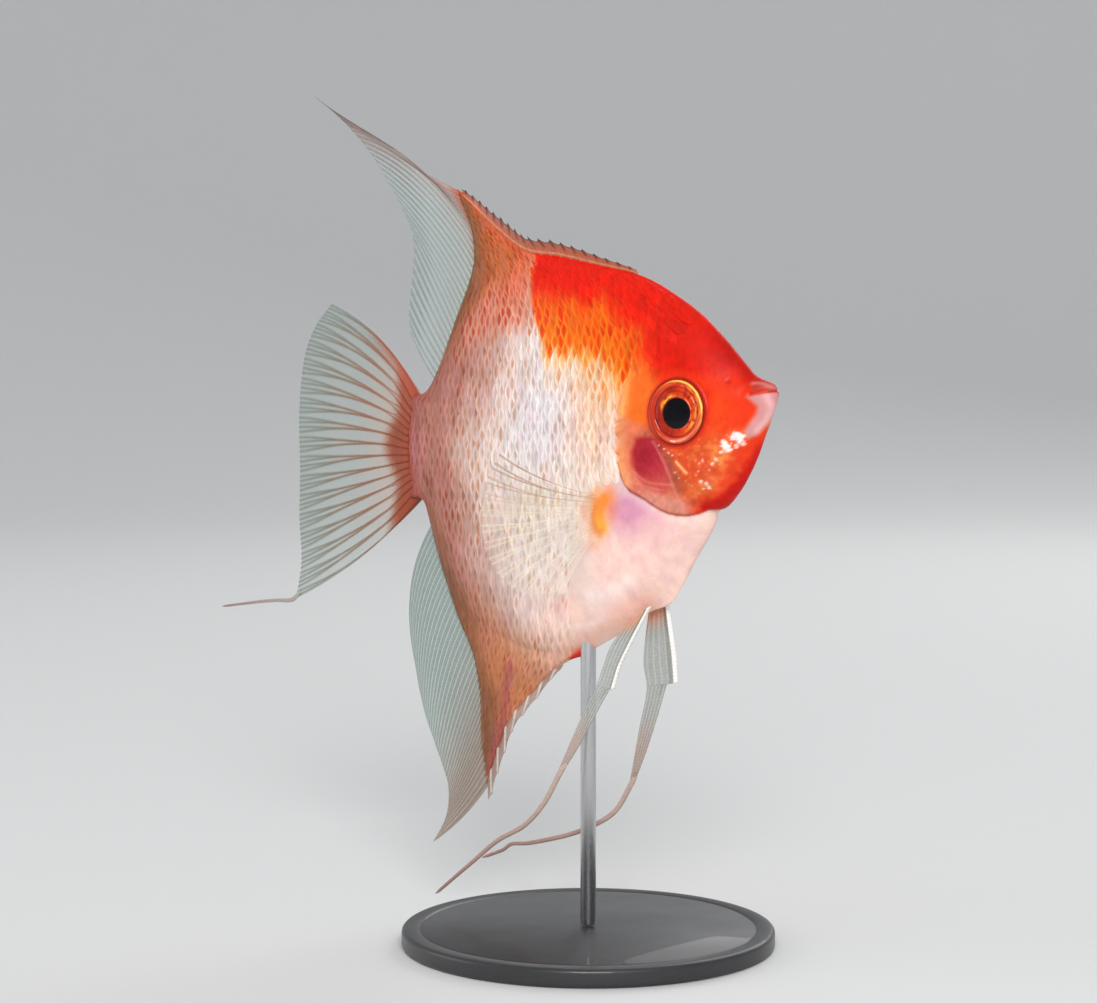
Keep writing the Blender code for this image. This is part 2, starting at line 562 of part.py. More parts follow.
def stand(fish, trunk):
    """A round base at the origin and one rod up into the belly."""
    bpy.ops.mesh.primitive_cylinder_add(vertices=40, radius=BASE_RADIUS, depth=BASE_HEIGHT,
                                        location=(0, 0, BASE_HEIGHT / 2))
    base = bpy.context.object
    base.name = "stand_base"
    base.data.materials.append(material("stand_base", (0.02, 0.02, 0.022), 0.4))
    base.data.shade_smooth()
    base.data.set_sharp_from_angle(angle=math.radians(40))
    bevel = base.modifiers.new("edge", "BEVEL")
    bevel.width = BASE_BEVEL
    bevel.segments = 2
    bevel.limit_method = "ANGLE"

    belly = SNOUT_HEIGHT + ROD_CHART[1] * STANDARD_LENGTH
    foot, top = BASE_HEIGHT + GAP, belly + ROD_DEPTH_IN_BODY
    bpy.ops.mesh.primitive_cylinder_add(vertices=16, radius=ROD_RADIUS, depth=top - foot,
                                        location=(0, 0, (top + foot) / 2))
    rod = bpy.context.object
    rod.name = "stand_rod"
    rod.data.materials.append(material("stand_rod", (0.62, 0.62, 0.63), 0.3, 1.0))
    rod.data.shade_smooth()
    rod.data.set_sharp_from_angle(angle=math.radians(40))

    depth = ROD_DEPTH_IN_BODY + GAP + 0.006
    bpy.ops.mesh.primitive_cylinder_add(vertices=16, radius=ROD_RADIUS + GAP, depth=depth,
                                        location=(0, 0, top + GAP - depth / 2))
    hole = bpy.context.object
    hole.name = "hole_for_rod"
    hole.hide_render = True
    hole.display_type = "WIRE"
    boolean(trunk, hole, "DIFFERENCE")


def main():
    clear_scene()
    fish = bpy.data.objects.new("snout_tip", None)
    bpy.context.scene.collection.objects.link(fish)
    rod_x = float(place(*ROD_CHART)[0])
    rod_y = float(place(*ROD_CHART)[1])
    fish.location = (-rod_x, -rod_y, SNOUT_HEIGHT)
    parts = body_parts(fish)
    gill_covers(fish, parts["head"])
    lower_jaw(fish, parts["head"])
    eyes(fish, parts["head"])
    spine_fringe("dorsal_spines", fish, parts["dorsal_fin_base"], UPPER_EDGE, (0.53, 0.965), 12,
                 heights=(0.020, 0.040, 0.016), lean=0.6)
    spine_fringe("anal_spines", fish, parts["anal_fin_base"], LOWER_EDGE[::-1], (0.655, 0.965), 6,
                 heights=(0.022, 0.028, 0.034), lean=0.8)
    grown_body = body_object("body_and_gap", fish, GAP)
    median_fins(fish, grown_body)
    pectoral_fins(fish, grown_body)
    pelvic_fins(fish, grown_body)
    streamers(fish)
    stand(fish, parts["trunk"])


main()
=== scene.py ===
"""Looks of the life-size freshwater angelfish (Pterophyllum scalare) on its plain display stand.

The fish is laid out on the same chart as its solids: u is the distance behind the snout tip along the bent
mid line, w is the height above the snout tip, both in standard lengths, and v is the offset to the fish's
left in metres. side is -1 for the fish's right, which faces the camera, and 1 for its left. What is drawn on
the chart is written in thousandths of the standard length: points, u before w, and radii and line widths.
Other lengths are in metres unless a name or comment says otherwise. Colours are sRGB, as 0xRRGGBB, and
those of the stand and the studio are linear.
"""

import math

import bpy
import numpy as np
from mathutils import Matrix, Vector


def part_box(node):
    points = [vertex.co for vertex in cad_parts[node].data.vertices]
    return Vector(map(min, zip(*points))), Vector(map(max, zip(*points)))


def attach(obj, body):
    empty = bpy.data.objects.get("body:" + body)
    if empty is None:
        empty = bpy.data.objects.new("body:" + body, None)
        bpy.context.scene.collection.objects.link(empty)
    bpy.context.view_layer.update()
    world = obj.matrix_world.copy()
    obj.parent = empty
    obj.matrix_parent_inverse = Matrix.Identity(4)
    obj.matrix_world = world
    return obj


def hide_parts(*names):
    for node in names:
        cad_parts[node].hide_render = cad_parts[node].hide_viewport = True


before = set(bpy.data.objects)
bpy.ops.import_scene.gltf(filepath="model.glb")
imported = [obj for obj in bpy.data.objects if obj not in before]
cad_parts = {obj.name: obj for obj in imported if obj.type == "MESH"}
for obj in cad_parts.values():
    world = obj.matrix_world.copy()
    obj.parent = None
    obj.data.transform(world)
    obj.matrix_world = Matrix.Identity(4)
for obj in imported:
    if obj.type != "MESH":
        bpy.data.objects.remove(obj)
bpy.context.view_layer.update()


def table(columns, *numbers):
    """Rows of so many columns, from thousandths."""
    return np.reshape(numbers, (-1, columns)) / 1000


def knots(*numbers):
    """Chart points from thousandths, u before w."""
    return table(2, *numbers)


# The chart, as in the part's source.
STANDARD_LENGTH = 0.075
ROD_U = 0.47
SNOUT_HEIGHT = 0.0895
TAIL_BEND_START = 0.45
TAIL_BEND = math.radians(12)
UPPER_EDGE = knots(
    0, 0, 10, 16, 30, 26, 56, 37, 85, 66, 135, 116, 190, 163, 265, 209, 340, 241, 440, 262, 546, 283,
    640, 296, 725, 345, 790, 392, 846, 430)
DORSAL_LOBE_REAR = knots(
    846, 430, 812, 370, 795, 315, 796, 262, 824, 196, 866, 105, 905, 32, 945, -16, 1000, -26)
TAIL_BASE = knots(1000, -26, 1014, -85, 1018, -144, 1014, -203, 1000, -262)
ANAL_LOBE_REAR = knots(
    1000, -262, 955, -262, 930, -315, 898, -405, 850, -510, 800, -597, 779, -690, 776, -790, 758, -888)
LOWER_EDGE = knots(
    758, -888, 722, -806, 678, -726, 612, -660, 546, -602, 440, -550, 352, -500, 312, -470, 262, -450,
    236, -420, 196, -350, 158, -290, 142, -246)
CHIN = knots(142, -246, 118, -232, 80, -192, 48, -136, 26, -78, 8, -24, 0, 0)
HUB = (0.49, -0.12)
FLANK = table(  # u, half thickness at mid height, mid height, half height of the muscle
    4,
    -20, 26, -12, 60,
    50, 43, -50, 130,
    120, 65, -70, 215,
    200, 83, -95, 290,
    300, 96, -115, 350,
    420, 97, -135, 400,
    560, 88, -150, 420,
    700, 70, -150, 390,
    840, 51, -150, 320,
    930, 36, -147, 230,
    1020, 26, -144, 170)
EDGE_HALF = 0.02
LOBE_HALF = 0.0085
LOBE_TAPER = 0.16
RIM_START = 0.8

SIDES = {"right": -1, "left": 1}
COAT_DEPTH = 0.00022  # the skin lies this far inside the solids, and the scales fill the difference


# ---- chart and space


def mid_line(u):
    """Plan-view x and y in metres of the mid line, and its turn, u standard lengths behind the snout."""
    u = np.asarray(u, float)
    rate = TAIL_BEND / (1 - TAIL_BEND_START)
    turn = rate * (np.clip(u, TAIL_BEND_START, 1) - TAIL_BEND_START)
    straight = np.minimum(u, TAIL_BEND_START)
    beyond = np.maximum(u - 1, 0)
    x = -(straight + np.sin(turn) / rate + beyond * np.cos(turn))
    y = (1 - np.cos(turn)) / rate + beyond * np.sin(turn)
    return x * STANDARD_LENGTH, y * STANDARD_LENGTH, turn


ROD_X, ROD_Y, _ = mid_line(ROD_U)
SNOUT = np.array([-ROD_X, -ROD_Y, SNOUT_HEIGHT])


def place(u, w, v=0.0):
    """Space points of chart points."""
    x, y, turn = mid_line(u)
    points = np.broadcast_arrays(x + v * np.sin(turn), y + v * np.cos(turn), np.asarray(w) * STANDARD_LENGTH)
    return np.stack(points, axis=-1) + SNOUT


def curve(points, count):
    """count points spaced evenly along the Catmull-Rom curve through the points."""
    p = np.vstack([2 * points[0] - points[1], points, 2 * points[-1] - points[-2]])
    s = np.linspace(0, 1, 24, endpoint=False)[:, None]
    spans = []
    for a, b, c, d in zip(p[:-3], p[1:-2], p[2:-1], p[3:]):
        square, cube = 2 * a - 5 * b + 4 * c - d, 3 * b - a - 3 * c + d
        spans.append(0.5 * (2 * b + (c - a) * s + square * s**2 + cube * s**3))
    fine = np.vstack([*spans, p[-2:-1]])
    along = np.concatenate([[0], np.cumsum(np.linalg.norm(np.diff(fine, axis=0), axis=1))])
    at = np.linspace(0, along[-1], count)
    return np.stack([np.interp(at, along, axis) for axis in fine.T], axis=1)


def unit(x):
    return np.clip(x, 0, 1)


def steps(count):
    return np.linspace(0, 1, count)


def circle(count):
    return np.linspace(0, 2 * math.pi, count, endpoint=False)


def direction(vectors):
    return vectors / np.linalg.norm(vectors, axis=-1, keepdims=True)


def smooth(x):
    """0 below 0, 1 above 1, and an even rise between them."""
    x = unit(x)
    return x * x * (3 - 2 * x)


def ramp(x, width):
    """A smooth rise from 0 where x is 0 to 1 where it is the width."""
    return smooth(x / width)


def bell(x, width):
    """1 at 0, and falling off to both sides over the width."""
    return np.exp(-((x / width) ** 2))


def graph(x, *numbers):
    """The value at x of straight lines through the points, which are in thousandths."""
    points = knots(*numbers)
    return np.interp(x, points[:, 0], points[:, 1])


def outline(spacings):
    """The closed body outline from the snout over the back, each edge with its own spacing of points."""
    points = []
    edges = UPPER_EDGE, DORSAL_LOBE_REAR, TAIL_BASE, ANAL_LOBE_REAR, LOWER_EDGE, CHIN
    for edge, spacing in zip(edges, spacings):
        length = np.linalg.norm(np.diff(curve(edge, 60), axis=0), axis=1).sum()
        points.append(curve(edge, max(3, round(length / spacing) + 1))[:-1])
    return np.vstack(points)


RIM = outline((0.01,) * 6) - HUB
RIM_ANGLE = np.unwrap(np.arctan2(RIM[:, 1], RIM[:, 0]))
RIM_ORDER = np.argsort(RIM_ANGLE)
RIM_RADIUS = np.hypot(RIM[:, 0], RIM[:, 1])
FLANK_FINE = curve(FLANK, 300)


def rim_share(u, w):
    """How far each chart point lies on its way from the hub (0) to the outline (1)."""
    du, dw = np.asarray(u) - HUB[0], np.asarray(w) - HUB[1]
    low = RIM_ANGLE.min()
    angle = low + np.mod(np.arctan2(dw, du) - low, 2 * math.pi)
    radius = np.interp(angle, RIM_ANGLE[RIM_ORDER], RIM_RADIUS[RIM_ORDER], period=2 * math.pi)
    return np.hypot(du, dw) / radius


def half_thickness(u, w, share=None):
    """Half thickness of the body in metres: a lens of muscle that thins to the rounded back and belly."""
    half, middle, height = (np.interp(u, FLANK_FINE[:, 0], FLANK_FINE[:, k]) for k in (1, 2, 3))
    away = np.abs(w - middle)
    edge = np.clip(EDGE_HALF + (LOBE_HALF - EDGE_HALF) * (away - height) / LOBE_TAPER, LOBE_HALF, EDGE_HALF)
    edge = np.minimum(edge, half)
    lens = edge + (half - edge) * (1 - unit(away / height) ** 2) ** 0.75
    share = rim_share(u, w) if share is None else share
    return STANDARD_LENGTH * lens * np.sqrt(1 - unit((share - RIM_START) / (1 - RIM_START)) ** 2)


def surface(u, w, side, lift=0.0):
    """Points on one flank, lifted off the solids' surface along its normal."""
    step = 0.003

    def at(u, w):
        return place(u, w, side * half_thickness(u, w))

    normal = np.cross(at(u + step, w) - at(u - step, w), at(u, w + step) - at(u, w - step))
    return at(u, w) + direction(side * normal) * np.asarray(lift)[..., None]


# ---- shapes drawn on the chart


def distance_to(points, u, w):
    """Distance, in standard lengths, of chart points from the smooth line through the points."""
    line = curve(points, 40) if len(points) > 2 else points
    best = np.inf
    for a, b in zip(line[:-1], line[1:]):
        along = b - a
        share = unit(((u - a[0]) * along[0] + (w - a[1]) * along[1]) / (along @ along))
        best = np.minimum(best, np.hypot(u - a[0] - share * along[0], w - a[1] - share * along[1]))
    return best


def area(polygon, u, w, soft):
    """1 inside the polygon and 0 outside, with an edge that is soft wide, in standard lengths."""
    best, inside = np.inf, False
    for a, b in zip(polygon, np.roll(polygon, -1, axis=0)):
        best = np.minimum(best, distance_to(np.stack([a, b]), u, w))
        crossing = a[0] + (w - a[1]) * (b[0] - a[0]) / (b[1] - a[1] or 1e-9)
        inside = inside ^ (((a[1] > w) != (b[1] > w)) & (u < crossing))
    return smooth(0.5 + np.where(inside, best, -best) / soft)


def noise(u, w, wide, high, seed):
    """Smooth noise from 0 to 1 with cells of the given width and height, in thousandths."""
    size = 64
    grid = np.random.default_rng(seed).random((size, size))
    x, y = np.asarray(u) / (wide / 1000) + 100, np.asarray(w) / (high / 1000) + 100
    i, j = np.floor(x).astype(int), np.floor(y).astype(int)
    fx, fy = smooth(x - i), smooth(y - j)

    def row(j):
        return grid[i % size, j % size] * (1 - fx) + grid[(i + 1) % size, j % size] * fx

    return row(j) * (1 - fy) + row(j + 1) * fy


def rgb(colour):
    """The values from 0 to 255 of an 0xRRGGBB colour. Arrays of values stay as they are."""
    if isinstance(colour, int):
        return np.array([colour >> 16, colour >> 8 & 255, colour & 255], float)
    return colour


class Chart:
    """Soft shapes at the chart points u, w, and the coat of markings that is laid over them.

    The coat's columns are ground colour, streak colour and share of streak. It starts as a white flank.
    """

    def __init__(self, u, w):
        self.u, self.w = u, w
        self.coat = np.tile((*rgb(0xEEE4E0), *rgb(0xC49A7A), 0.5), (len(u), 1))

    def line(self, width, *numbers):
        return bell(distance_to(knots(*numbers), self.u, self.w), width / 1000)

    def blob(self, x, y, wide, high, turn=0):
        """A soft oval, its width turned by so many degrees."""
        cos, sin = math.cos(math.radians(turn)), math.sin(math.radians(turn))
        du, dw = self.u - x / 1000, self.w - y / 1000
        return bell(du * cos + dw * sin, wide / 1000) * bell(dw * cos - du * sin, high / 1000)

    def grain(self, wide, high, seed):
        """Noise from -0.5 to 0.5."""
        return noise(self.u, self.w, wide, high, seed) - 0.5

    def lay(self, amount, ground, streak=None, share=0.2):
        target = np.concatenate([rgb(ground), rgb(streak or ground), [share]])
        self.coat += amount[:, None] * (target - self.coat)


# ---- head features

MOUTH_SLIT = (-20, 4, 0, 3, 16, 2, 32, -1, 48, -5)
UPPER_LIP = (2, 10, 20, 13, 42, 8)
JAW_BAND = knots(
    -12, 0, 16, -1, 40, -5, 55, -10, 45, -19, 35, -30, 38, -44, 50, -62, 62, -80, 56, -96, 42, -90, 24, -67,
    6, -40, -12, -6)
JAW_GROOVE = (50, -8, 39, -21, 37, -38, 49, -58, 63, -80)
NOSTRIL = (94, 22)
EYE_CHART = (0.196, -0.042)
EYE_RADIUS = (0.0046, 0.0051)  # along the head and up it
GILL_MARGIN = (
    300, 60, 322, 0, 331, -50, 333, -100, 330, -150, 310, -202, 271, -223, 238, -244, 204, -255, 171, -255,
    144, -244, 60, -270)
HEAD = np.vstack([curve(knots(*GILL_MARGIN), 30), knots(-100, -270, -100, 300, 240, 300)])
GILL_PATCH = curve(knots(
    288, -98, 266, -90, 243, -96, 230, -116, 217, -146, 208, -178, 212, -205, 232, -208, 256, -196,
    280, -176, 292, -148, 296, -118, 288, -98), 36)[:-1]
GILL_RIDGES = (  # line, width and strength
    ((247, -104, 233, -128, 219, -156, 210, -180, 200, -206, 188, -238), 3.0, 0.55),
    ((290, -168, 264, -186, 238, -191, 211, -192), 3.0, 0.42),
    ((264, -196, 246, -201, 228, -204), 2.6, 0.35),
)
# Silvery guanine patches on the cheek, their white a painted glint.
SILVER_GLINT_PATCHES = (
    knots(87, -87, 77, -79, 66, -83, 60, -93, 67, -103, 80, -100),
    knots(104, -104, 96, -99, 88, -106, 86, -117, 95, -120, 102, -113),
)
CHEEK_SPECKS = table(  # centre and size
    3,
    87, -119, 4.5, 76, -110, 4.0, 64, -106, 3.6, 104, -124, 3.4, 115, -139, 3.8, 121, -147, 3.0,
    147, -146, 2.4, 140, -141, 3.0, 146, -184, 3.6, 137, -190, 4.4, 134, -197, 3.2, 144, -199, 3.0,
    213, -127, 2.8, 204, -131, 2.2, 223, -119, 2.2, 235, -112, 2.0, 200, -167, 2.6, 192, -178, 2.2,
    150, -163, 1.8, 128, -160, 2.0)


def eye_distance(u, w):
    """0 at the eye's centre and 1 at its rim."""
    across, up = (u - EYE_CHART[0]) * STANDARD_LENGTH, (w - EYE_CHART[1]) * STANDARD_LENGTH
    return np.hypot(across / EYE_RADIUS[0], up / EYE_RADIUS[1])


# ---- markings

REAR_EDGE = (  # w and u of the body's rear edge
    -888, 758, -690, 779, -510, 850, -405, 898, -315, 930, -144, 1000, 32, 905, 105, 866, 196, 824, 262, 796,
    430, 846)
# Darker tones towards the rear edge, partly the fish's own colour and partly painted shade.
REAR_TONES_AND_SHADE = (  # gap to the rear edge where a tone starts, how wide it comes in, ground and streak colour
    (0.38, 0.12, 0xE4D0CA, 0xC48C68),
    (0.29, 0.1, 0xC8A094, 0xA85E38),
    (0.215, 0.1, 0xB3786B, 0x904224),
    (0.1, 0.09, 0xA86557, 0x883E28),
)


def linear(colour):
    """Linear light of sRGB values from 0 to 255."""
    c = np.asarray(colour, float) / 255
    return np.where(c <= 0.04045, c / 12.92, ((c + 0.055) / 1.055) ** 2.4)


def mix(a, b, amount):
    """Colours from a to b."""
    amount = np.asarray(amount)[..., None]
    return rgb(a) * (1 - amount) + rgb(b) * amount


def markings(u, w):
    """Ground colour, streak colour and how strong the streaks are, at each chart point."""
    at = Chart(u, w)
    lay, blob, line = at.lay, at.blob, at.line
    rough, fine, thread = at.grain(50, 70, 1), at.grain(12, 22, 2), at.grain(6, 45, 3)

    # Flank: lavender white middle, its lavender a painted iridescent sheen, cream shoulder, golden white
    # under the breast fin.
    lavender_sheen = unit(blob(520, -60, 100, 150, 20) + 0.5 * blob(680, -330, 60, 120))
    lay(lavender_sheen * 0.8, 0xE8E1E6, 0xB6A4A4, 0.5)
    lay(unit(blob(390, -50, 72, 140) * 1.2) * 0.9, 0xF4D0B8, 0xD09466, 0.6)
    lay(blob(520, -240, 120, 60, -10) * 0.6, 0xFAECD8, 0xCEA470, 0.5)

    # The rear flushes to a dusky rose brown, the sooner the higher up: partly the fish's own colour, partly
    # painted shade where the body turns away from the light.
    rear_gap = graph(w, *REAR_EDGE) - u
    gap = rear_gap + 0.05 * rough + 0.02 * thread + 0.012 * fine
    gap = gap + 0.03 * ramp(w, 0.1) + 0.04 * ramp(-0.25 - w, 0.15)
    for start, width, ground, streak in REAR_TONES_AND_SHADE:
        lay(smooth((start - gap) / width), ground, streak, 0.62)
    upper = ramp(w + 0.35 * (u - 0.6) - 0.085 + 0.07 * rough + 0.04 * thread, 0.12)
    lay(upper * ramp(u - 0.545, 0.04) * 0.85, 0xDA9278, 0xB63016, 0.9)
    lay(blob(955, -160, 45, 50) * 0.5, 0xBC747A, 0xA65454, 0.4)

    # Scaled lobe of the dorsal fin: mottled orange brown, redder in front.
    lobe = ramp(w - 0.165 + 0.08 * rough + 0.04 * thread + 0.45 * (u - 0.68), 0.09)
    lay(lobe * ramp(u - 0.6, 0.04) * 0.9, 0xBE6230, 0x98320A, 0.6)
    brown = ramp(0.105 - rear_gap + 0.02 * rough, 0.09) * ramp(np.abs(w + 0.12) - 0.15, 0.08)
    lay(brown * 0.9, 0x8E502C, 0x703816, 0.6)
    lay(blob(640, 230, 40, 50, 20) * 0.8, 0xE87A5A, 0xD03E22, 0.7)
    lay(line(14, 600, 285, 660, 300, 730, 345, 800, 395, 850, 430) * 0.6, 0xD65C3C, 0xBA381E, 0.6)

    # Tail stalk.
    stalk = ramp(u - 0.955 + 0.25 * np.abs(w + 0.144) + 0.03 * rough, 0.05)
    lay(stalk * 0.8, 0xA85046, 0x923426, 0.28)
    lay(ramp(u - 0.968, 0.035) * 0.95, 0x9C4028, 0x8A321C, 0.3)

    # Lower rear and the scaled lobe of the anal fin: orange brown, with a plum streak before the spines.
    low_edge = ramp(0.085 - rear_gap + 0.03 * rough, 0.08) * ramp(-0.22 - w, 0.12)
    lay(low_edge * 0.9, 0x985C3C, 0x7A4022, 0.5)
    low_lobe = ramp(-0.46 - w + 0.3 * (u - 0.62) + 0.06 * rough, 0.17)
    lay(low_lobe * 0.85, 0xC47A4E, 0x96461C, 0.5)
    lay(ramp(-0.68 - w + 0.03 * rough, 0.1) * 0.75, 0x92624A, 0x703C2A, 0.5)
    lay(brown * ramp(-0.3 - w, 0.15) * 0.85, 0x7E4E32, 0x6C381C, 0.4)
    lay(line(13, 675, -610, 688, -655, 694, -700, 722, -780, 745, -850) * 0.75,
        0xA85650, 0x8C303E, 0.7)
    olive = line(17, 846, 430, 802, 360, 788, 300, 795, 250, 830, 180, 872, 95, 912, 20)
    olive = olive + bell(distance_to(ANAL_LOBE_REAR[2:], u, w), 0.01)
    lay(unit(olive) * 0.8, 0x7C5C34, 0x683E1E, 0.5)
    calm = ramp(-0.28 - w, 0.12) * ramp(u - 0.56, 0.1)
    at.coat[:, 6] *= 1 - 0.35 * calm

    # Belly and breast: smooth peach pink, painted highlights along its soft folds, an orange flush behind and
    # the red vent.
    breast = ramp(0.47 - u + 0.1 * (w + 0.35) + 0.03 * rough, 0.09) * ramp(-0.215 - w, 0.06)
    lay(breast * 0.95, 0xFFD5C7, 0xF4BEAC, 0.22)
    grain = at.grain(5, 6, 7)
    lay(breast * ramp(grain + 0.1, 0.5) * 0.28, 0xFFE0D6, 0xFAD2C6, 0.22)
    lay(breast * ramp(-grain - 0.05, 0.4) * 0.25, 0xF2C4B8, 0xECB4A6, 0.22)
    lay(unit(blob(500, -490, 100, 70, -25) * 1.2) * 0.8, 0xFED4C4, 0xF4B49E, 0.3)
    lay(line(20, 300, -440, 350, -470, 420, -515, 500, -560, 560, -585) * 0.4, 0xF2AC92)
    # Painted highlights: two pale lines along the folds of the breast.
    lay(line(20, 330, -400, 372, -425, 420, -440) * 0.6, 0xFFECE6)
    lay(line(8, 400, -480, 440, -500, 490, -505, 540, -490) * 0.5, 0xFFE6D8)
    lay(unit(line(9, 462, -558, 485, -566, 508, -580) * 1.2), 0xCE2A1E)

    # Violet skin behind the gill cover, and the orange foot of the breast fin.
    lay(blob(285, -286, 75, 34, 6) * 0.6, 0xECB6BA, 0xE2A8B0, 0.3)
    violet = blob(314, -246, 36, 42) + 0.4 * blob(262, -256, 50, 20, 12)
    lay(unit(violet * 1.3 + 0.4 * fine) * 0.85, 0xD890AC, 0xC878A4, 0.3)
    lay(blob(350, -212, 16, 26, -20) * 0.7, 0xF08C68)
    lay(blob(350, -250, 14, 24) * 0.75, 0xE2786C)
    foot = line(15 + 20 * (fine + 0.6) * ramp(u - 0.37, 0.02), 364, -226, 374, -242, 380, -262, 380, -286)
    lay(unit(foot * 1.3), 0xF69444, 0xEA7026, 0.5)
    lay(blob(378, -278, 16, 22) * 0.8, 0xFFBA4A, 0xFA9628, 0.5)

    # The red cap turns orange below, streaked and ragged, with a sharp rear edge.
    cap_rear = ramp(graph(w, 50, 535, 120, 556, 165, 574, 210, 592, 290, 618) - u + 0.01 * fine, 0.005)
    low_line = graph(u, 280, -120, 310, -20, 340, 26, 380, 42, 420, 50, 490, 62, 560, 74)
    above = w - low_line + 0.05 * thread + 0.02 * fine + 0.012 * rough
    lay(blob(352, 12, 40, 60, 20) * (0.6 + 0.6 * thread), 0xF09E5C, 0xDE6822, 0.8)
    halo = cap_rear * ramp(above + 0.065, 0.07) * ramp(w + 0.09, 0.06)
    lay(halo * 0.7, 0xFAD0A2, 0xE8883A, 0.9)
    cap = cap_rear * ramp(above, 0.03)
    lay(cap, 0xF8941C, 0xDE4604, 0.95)
    lay(cap * ramp(above - 0.01, 0.06) * 0.85, 0xF06C0A, 0xD42C00, 0.85)
    red_line = graph(u, 220, -20, 264, 60, 294, 95, 340, 125, 396, 145, 505, 172, 600, 184)
    red = cap_rear * ramp(w - red_line + 0.045 + 0.028 * thread + 0.02 * rough, 0.12)
    lay(red * 0.6, 0xEC4606, 0xD62402, 0.7)
    lay(ramp(red - 0.35, 0.65), 0xE21A02, 0xD00E00, 0.45)

    head_markings(at, rough, fine, thread)
    return at.coat[:, :3], at.coat[:, 3:6], at.coat[:, 6]


def head_markings(at, rough, fine, thread):
    u, w, blob, line = at.u, at.w, at.blob, at.line
    head = area(HEAD, u, w, 0.008)
    mottle, speckle = at.grain(7, 8, 4), at.grain(3.5, 3.8, 6)

    def lay(amount, *colours):
        at.lay(head * amount, *colours)

    lay(1, 0xEC360A, 0xE02806)
    orange = ramp(u - 0.225 + 0.02 * rough, 0.035) * ramp(0.09 - w + 0.3 * (u - 0.26), 0.06)
    lay(orange * 0.9, 0xF47A28, 0xE25416, 0.7)
    strip = line(15, 314, 60, 318, 0, 322, -60, 320, -120)
    lay(strip * (0.75 + 0.8 * thread), 0xF6B65E, 0xEE923E, 0.5)
    lay(blob(85, 20, 60, 40) * 0.7, 0xCE1E06)
    above = ramp(w - 0.012 + 0.03 * rough, 0.05) * ramp(0.285 - u + 0.15 * w, 0.05)
    lay(above, 0xD41802, 0xC81000, 0.3)
    top = ramp(w + 0.75 * (0.048 - u), 0.025) * ramp(0.19 - u, 0.08) * ramp(w - 0.004, 0.02)
    lay(top * 0.9, 0xBA0E02)
    lay(blob(120, -35, 35, 55, 30) * 0.8, 0xFA4A18)
    lay(line(10, 131, 0, 128, -45, 140, -90) * 0.5, 0xDE220C)

    # Cheek: orange with golden mottling and pale sparkling specks.
    cheek = unit(blob(155, -160, 78, 70, -20) * 1.6)
    lay(cheek * 0.9, 0xD85226, 0xC63E1E, 0.4)
    lay(cheek * ramp(mottle + 0.02, 0.25) * 0.4, 0xEC7C42)
    lay(cheek * ramp(-0.12 - mottle, 0.16) * 0.4, 0xC84226)
    gold = unit(blob(100, -135, 40, 20, 50) + 0.6 * blob(150, -205, 40, 18, -38))
    lay(gold * (0.65 + 0.9 * mottle), 0xF29248)
    lay(blob(122, -190, 22, 18) * 0.5, 0xF08A54)
    lay(blob(172, -200, 16, 20) * 0.5, 0xCE542C)
    sparkle = ramp(speckle - 0.34, 0.08) * ramp(mottle + 0.05, 0.2)
    lay(cheek * sparkle * 0.55, 0xF8C496)

    # Gill cover: dusky front strip, magenta patch crossed by pink ridges, greyish pink lower plate.
    cover = area(knots(330, -50, 262, -75, 214, -145, 196, -215, 176, -262, 340, -262, 345, -50), u, w, 0.02)
    lay(cover * 0.9, 0xDE7658, 0xCE604A, 0.3)
    low_cover = line(22, 310, -195, 270, -216, 225, -232, 180, -242)
    lay(low_cover * 0.85, 0xD28A7A)
    lay(blob(284, -200, 24, 16, 20) * 0.6, 0xCE584C)
    lay(low_cover * ramp(mottle - 0.05, 0.3) * 0.3, 0xE6A692)
    lay(line(13, 320, 0, 324, -50, 324, -100, 320, -150, 306, -190) * 0.8, 0xF09E64)
    dusky = line(13, 258, -86, 236, -114, 216, -142, 203, -172, 197, -200)
    lay(dusky * (0.75 + mottle), 0xA04E3A)
    patch = area(GILL_PATCH, u + 0.01 * fine, w + 0.012 * rough, 0.016)
    paler = ramp(0.6 * (0.262 - u) + 0.8 * (-0.125 - w) - 0.008, 0.06)
    lay(patch * (1 - 0.55 * paler), 0xA8212A, 0x9E1C28, 0.3)
    lay(patch * blob(240, -152, 26, 24, 60) * 0.6, 0xAE223A)
    lay(patch * blob(264, -136, 18, 26) * 0.6, 0x96142C)
    lay(patch * ramp(mottle - 0.02, 0.3) * 0.2, 0xCE4A54)
    for ridge, width, depth in GILL_RIDGES:
        lay(line(width, *ridge) * depth, 0xE88C82)
    lay(line(3.4, *GILL_MARGIN[10:20]) * 0.8, 0x963C34)

    # Chin, throat and lips, with painted highlights on the jaw band and the upper lip and painted shade in
    # the mouth slit.
    from_chin = distance_to(CHIN[:5], u, w) + 0.012 * rough + 0.006 * mottle
    chin = ramp(-0.08 - w, 0.05)
    lay(chin * ramp(0.05 - from_chin, 0.03) * 0.7, 0xE43614, 0xD62A10, 0.3)
    rim = graph(-w, 100, 6, 150, 14, 200, 26, 240, 34)
    lay(chin * ramp(rim - from_chin, 0.016), 0xC81004, 0xBE0C02, 0.3)
    lay(area(JAW_BAND, u, w, 0.012) * 0.95, 0xD49696, 0xCA8688)
    # Painted highlight: a pale stroke down the jaw band.
    lay(line(7, 18, -8, 12, -34, 22, -56, 40, -80) * 0.6, 0xF2C2C4)
    lay(line(7, *UPPER_LIP) * 0.8, 0xAA3632)
    # Painted highlight: a pale stroke along the top of the upper lip.
    lay(line(5, 48, 19, 34, 19, 16, 13, 4, 8) * 0.8, 0xCC8480)
